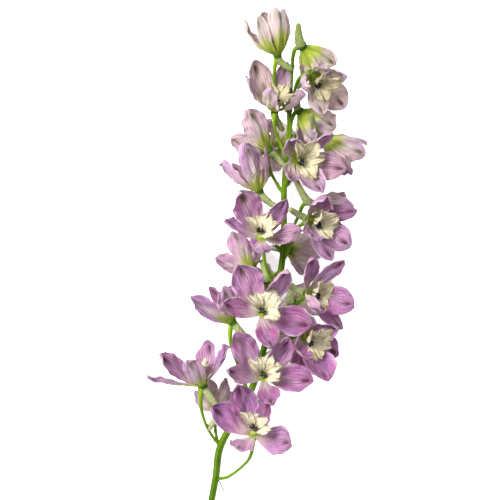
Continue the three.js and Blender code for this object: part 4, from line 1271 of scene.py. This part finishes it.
# %% Filaments and anthers
def stamen_tree():
    tree = GrowingTree("stamens", AntherLength=0.0019, AntherWidth=0.0011)
    filaments = tree.sweep(tree.skeleton, tree.ring(5), tree.node("GeometryNodeInputRadius"))
    ends = tree.node("GeometryNodeCurveEndpointSelection", {}, {"Start Size": 0, "End Size": 1})
    ball = tree.node("GeometryNodeMeshUVSphere", {}, {"Segments": 8, "Rings": 6, "Radius": 0.5})
    width, length = tree.size("AntherWidth"), tree.size("AntherLength")
    anthers = tree.copies(tree.skeleton, tree.keep(ball, "is_anther", 1.0),
                          tree.node("GeometryNodeInputTangent"),
                          tree.vector(width, width, length), Selection=ends)
    whole = tree.node("GeometryNodeJoinGeometry", {}, {"Geometry": filaments})
    tree.tree.links.new(anthers.socket, whole.socket.node.inputs["Geometry"])
    return tree.finish(whole, (bee_hair, None), (anther_black, "is_anther"))


STAMENS, ANTHER_TIP, ANTHER_DROP = 13, 8.6, 1.5
STAMEN_TURN, STAMEN_STRAY = 0.382, 0.1  # in full turns
LEAST_SPREAD, MORE_SPREAD = 0.35, 1.6   # of the anthers from the middle of the throat


def stamen_routes(number, bloom):
    chance, faces = Chance(number + 1300), unit(bloom["faces"])
    down = -bee_upward(faces)
    middle = np.array(bloom["receptacle"]) + faces * BEE_FLOOR + down * 0.5
    routes = []
    for k in range(STAMENS):
        turn = k * STAMEN_TURN + STAMEN_STRAY * chance.draw()
        outward = turned(down, faces, 2 * math.pi * turn)
        spread = LEAST_SPREAD + MORE_SPREAD * math.sqrt((k + 0.5) / STAMENS)
        rise = ANTHER_TIP - BEE_FLOOR - ANTHER_DROP * chance.draw()
        foot = middle + outward * 0.4 - faces
        top = middle + outward * spread + faces * rise + down
        bend = (foot + top) / 2 + faces * 0.5 - outward * 0.2
        routes.append([(*foot, 0.16), (*bend, 0.14), (*top, 0.1)])
    return routes


stamens = stamen_tree().grow("stamens", line_skeleton("filament_lines", [
    route for number, bloom in open_blooms for route in stamen_routes(number, bloom)]))

# %% [markdown]
# ## The beard
#
# Soft pale hairs stand on the bee's petals, thickest towards the rims. A tree scatters
# points over the petals with a fixed seed and stands a thin cone on each, leaning a little
# at random from the petal's normal.


# %% Hairs
def beard_tree():
    tree = GrowingTree("beard", HairLength=0.0013, HairRadius=0.00007, HairsPerSquareMetre=500000.0)
    thickness = tree.named("along").rise(0.3, 0.8) * abs(tree.named("across")).rise(0.0, 0.9) + 0.08
    points = tree.node("GeometryNodeDistributePointsOnFaces", {}, {
        "Mesh": tree.skeleton, "Density": tree.size("HairsPerSquareMetre") * thickness, "Seed": 4})
    normal = Wire(tree, points.socket.node.outputs["Normal"])
    lean = tree.node("FunctionNodeRandomValue", {"data_type": "FLOAT_VECTOR"},
                     {0: (-0.7, -0.7, -0.7), 1: (0.7, 0.7, 0.7), "Seed": 7})
    aim = tree.node("ShaderNodeVectorMath", {"operation": "ADD"}, {0: normal, 1: lean})
    hair = tree.node("GeometryNodeMeshCone", {"fill_type": "NONE"}, {
        "Vertices": 3, "Radius Top": 0.00001, "Radius Bottom": tree.size("HairRadius"),
        "Depth": tree.size("HairLength")})
    size = tree.node("FunctionNodeRandomValue", {"data_type": "FLOAT"},
                     {2: 0.5, 3: 1.3, "Seed": 9}, out=1)
    return tree.finish(tree.copies(points, hair, aim, size), (bee_hair, None))


def joined_copy(name, pieces):
    """One loose mesh of several pieces, for a tree to grow on."""
    points, faces, kept = [], [], {"along": [], "across": []}
    for made in pieces:
        base = len(points)
        points += [tuple(point.co) for point in made.data.vertices]
        faces += [tuple(base + i for i in polygon.vertices) for polygon in made.data.polygons]
        for label, numbers in kept.items():
            numbers += [item.value for item in made.data.attributes[label].data]
    mesh = bpy.data.meshes.new(name)
    mesh.from_pydata(points, [], faces)
    for label, numbers in kept.items():
        keep_on_points(mesh, label, numbers)
    return placed(name, mesh)


beard = beard_tree().grow("beard", joined_copy("bee_petals", bees))

# %% [markdown]
# ## The stem and the stalks
#
# The stem is a tube swept along its line of points, with six low ribs. The stalks of the
# blooms are the same thing, thinner, flared a little where they leave the stem and swollen
# under the bloom. One tree makes both. It takes its line, smooths it, and sweeps a ribbed
# ring along it. The ring's points keep their place round the ring for the green finish.


# %% A ribbed tube along a line
def stalk_tree():
    tree = GrowingTree("stalks", Sides=24, Ribs=6, RibHeight=0.05, Step=0.0015, TopSwelling=0.0,
                       FootSwelling=0.0, Fresh=0.0)
    line = tree.node("GeometryNodeCurveSplineType", {"spline_type": "CATMULL_ROM"},
                     {"Curve": tree.skeleton})
    line = tree.node("GeometryNodeResampleCurve", {"mode": "LENGTH"},
                     {"Curve": line, "Length": tree.size("Step")})
    share = tree.node("GeometryNodeSplineParameter")
    line = tree.keep(line, "along", share)
    round_it = tree.node("GeometryNodeInputIndex") / tree.size("Sides")
    ring = tree.keep(tree.ring(tree.size("Sides")), "around", round_it)
    crest = (round_it * tree.size("Ribs") * (2 * math.pi)).sine() * tree.size("RibHeight") + 1
    place = tree.node("ShaderNodeVectorMath", {"operation": "SCALE"},
                      {0: tree.node("GeometryNodeInputPosition"), "Scale": crest})
    ring = tree.node("GeometryNodeSetPosition", {}, {"Geometry": ring, "Position": place})
    swelling = (share ** 4.0 * tree.size("TopSwelling")
                + (1 - share) ** 14.0 * tree.size("FootSwelling"))
    tube = tree.sweep(line, ring, tree.node("GeometryNodeInputRadius") * (swelling + 1))
    return tree.finish(tree.keep(tube, "fresh", tree.size("Fresh")), (stem_green, None))


STALK_RADIUS = 0.9


def stalk_route(bloom):
    return [(*point, STALK_RADIUS) for point in [*bloom["stalk"], bloom["receptacle"]]]


stalks = stalk_tree()
main_stem = stalks.grow("main_stem", line_skeleton("stem_line", [STEM]))
pedicels = stalks.grow(
    "pedicels", line_skeleton("stalk_lines", [stalk_route(bloom) for bloom in BLOOMS]),
    Sides=12, Ribs=4, RibHeight=0.03, TopSwelling=1.1, FootSwelling=0.4, Fresh=1.0)

# %% [markdown]
# ## Bracts
#
# A thin green bract stands where each stalk leaves the stem, and two smaller ones stand
# further up the stalk. The tip of the stem ends in four, and one stalk on the right of the
# spike has a long pair. The tree shapes one bract, a flat tapering blade with a bend, and
# puts a copy on every point of the skeleton, turned along that point's aim and scaled to
# its size.


# %% The shape of a bract
def bract_tree():
    tree = GrowingTree("bracts", WidthShare=0.05, Flatness=0.3)
    spine = tree.node("GeometryNodeCurveQuadraticBezier", {}, {
        "Resolution": 10, "Start": (0, 0, -0.04), "Middle": (0, -0.06, 0.5), "End": (0, 0.08, 1)})
    share = tree.node("GeometryNodeSplineParameter")
    spine = tree.keep(spine, "along", share)
    ring = tree.node("GeometryNodeTransform", {}, {
        "Geometry": tree.ring(8), "Scale": tree.vector(1.0, tree.size("Flatness"), 1.0)})
    taper = (1.02 - share) ** 0.7 * (share + 0.15) ** 0.3 * tree.size("WidthShare")
    blade = tree.keep(tree.sweep(spine, ring, taper), "dry_and_shade", 1.0)
    points = tree.node("GeometryNodeMeshToPoints", {}, {"Mesh": tree.skeleton})
    bracts = tree.copies(points, blade, tree.named("aim", "FLOAT_VECTOR"), tree.named("size"))
    return tree.finish(bracts, (stem_green, None))


def aimed_points(name, rows):
    """A mesh of loose points, each with an aim and a size, from rows of place, aim and size."""
    mesh = bpy.data.meshes.new(name)
    mesh.from_pydata([tuple(np.array(place) * MM) for place, _, _ in rows], [], [])
    mesh.attributes.new("aim", "FLOAT_VECTOR", "POINT").data.foreach_set(
        "vector", np.array([aim for _, aim, _ in rows], float).ravel())
    keep_on_points(mesh, "size", [length * MM for _, _, length in rows])
    return placed(name, mesh)


bract_shape = bract_tree()
print("the tree of a bract has", len(bract_shape.tree.nodes), "nodes")

# %% Bracts and bracteoles
BRACT_LENGTH, FIRST_BRACTEOLE, SECOND_BRACTEOLE = 11, 7.2, 6
TIP_BRACTS = [((0.1, 1, 0.1), 6), ((0.8, 0.8, 0.3), 7), ((-0.4, 1, 0.2), 5), ((0.9, 0.4, 0), 6)]
LONG_PAIR_AT, LONG_PAIR, LONG_PAIR_LENGTH = (28.8, 40.5, 46), ((-0.5, 1, 0), (0.15, 1, 0.1)), 8


def bracts_of(bloom):
    """The bract of one stalk and its pair of bracteoles, as place, aim and length."""
    foot, first, second = np.array([*bloom["stalk"], bloom["receptacle"]][:3], float)
    outward, onward = unit(first - foot), unit(second - first)
    aim = unit(bloom.get("bract", outward + [0, -0.35, -0.2]))
    rows = [(foot + outward * 0.5, aim, BRACT_LENGTH)]
    if "under" not in bloom:
        rows += [(first, unit(onward + [0.25, 0, 0.2]), FIRST_BRACTEOLE),
                 (first, unit(onward + [-0.3, 0, 0.15]), SECOND_BRACTEOLE)]
    return rows


bract_rows = [row for bloom in BLOOMS for row in bracts_of(bloom)]
bract_rows += [(STEM[-1][:3], unit(aim), length) for aim, length in TIP_BRACTS]
bract_rows += [(LONG_PAIR_AT, unit(aim), LONG_PAIR_LENGTH) for aim in LONG_PAIR]
bracts = bract_shape.grow("bracts", aimed_points("bract_points", bract_rows))
for made in (main_stem, pedicels, bracts):
    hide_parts("stem")

# %% [markdown]
# ## Table, light and camera
#
# The cut spike lies on a pale table, and the camera looks straight down on it from about
# two metres with a long lens, so that nothing is foreshortened. The light is soft and comes
# mostly from the left and above the tip, as from a large window. A weaker lamp on the other
# side stands for the light that the room's walls send back.

# %% A plain pale table, lit from inside as a light table is
TABLE_SIZE, TABLE_GLOW = 6, 0.52
bpy.ops.mesh.primitive_plane_add(size=TABLE_SIZE)
table = bpy.context.object
table.name = "table"
table_white = Finish("table_white")
frosted = table_white.blend(table_white.noise(table_white.place, 3.0),
                            paint(236, 236, 236, 1), paint(244, 244, 244, 1))
table.data.materials.append(table_white.show(frosted, 0.8, **{
    "Emission Color": (1.0, 1.0, 1.0, 1.0), "Emission Strength": TABLE_GLOW}))
print("a table of", TABLE_SIZE, "by", TABLE_SIZE, "m")

# %% Light
ROOM_LIGHT = 0.7
WINDOW = dict(place=(-1.05, 0.75, 1.45), size=0.9, watts=90)
BOUNCE = dict(place=(1.4, -0.6, 1.6), size=1.4, watts=16)
LIT = (0, 0, 0.03)  # the middle of the spike, which both lamps face

world = bpy.data.worlds.new("room")
bpy.context.scene.world = world
world.use_nodes = True
background = world.node_tree.nodes["Background"]
background.inputs["Color"].default_value = (1, 1, 1, 1)
background.inputs["Strength"].default_value = ROOM_LIGHT


def soft_light(name, place, size, watts):
    data = bpy.data.lights.new(name, "AREA")
    data.energy, data.size = watts, size
    lamp = placed(name, data)
    lamp.location = place
    aim = np.array(LIT) - place
    lamp.rotation_euler = (math.atan2(math.hypot(aim[0], aim[1]), -aim[2]), 0,
                           math.atan2(aim[1], aim[0]) - math.pi / 2)


soft_light("window", **WINDOW)
soft_light("bounce", **BOUNCE)
print("window", WINDOW["watts"], "W, bounce", BOUNCE["watts"], "W")

# %% Camera
SENSOR, LENS = 36, 246  # millimetres
CAMERA_PLACE = (-0.0036, 0.0132, 2.083)
camera_data = bpy.data.cameras.new("camera")
camera_data.sensor_width, camera_data.lens = SENSOR, LENS
camera = placed("camera", camera_data)
camera.location = CAMERA_PLACE
bpy.context.scene.camera = camera
bpy.context.scene.view_settings.view_transform = "Standard"
print("at the table the view is", round(CAMERA_PLACE[2] * SENSOR / LENS / MM), "mm wide")
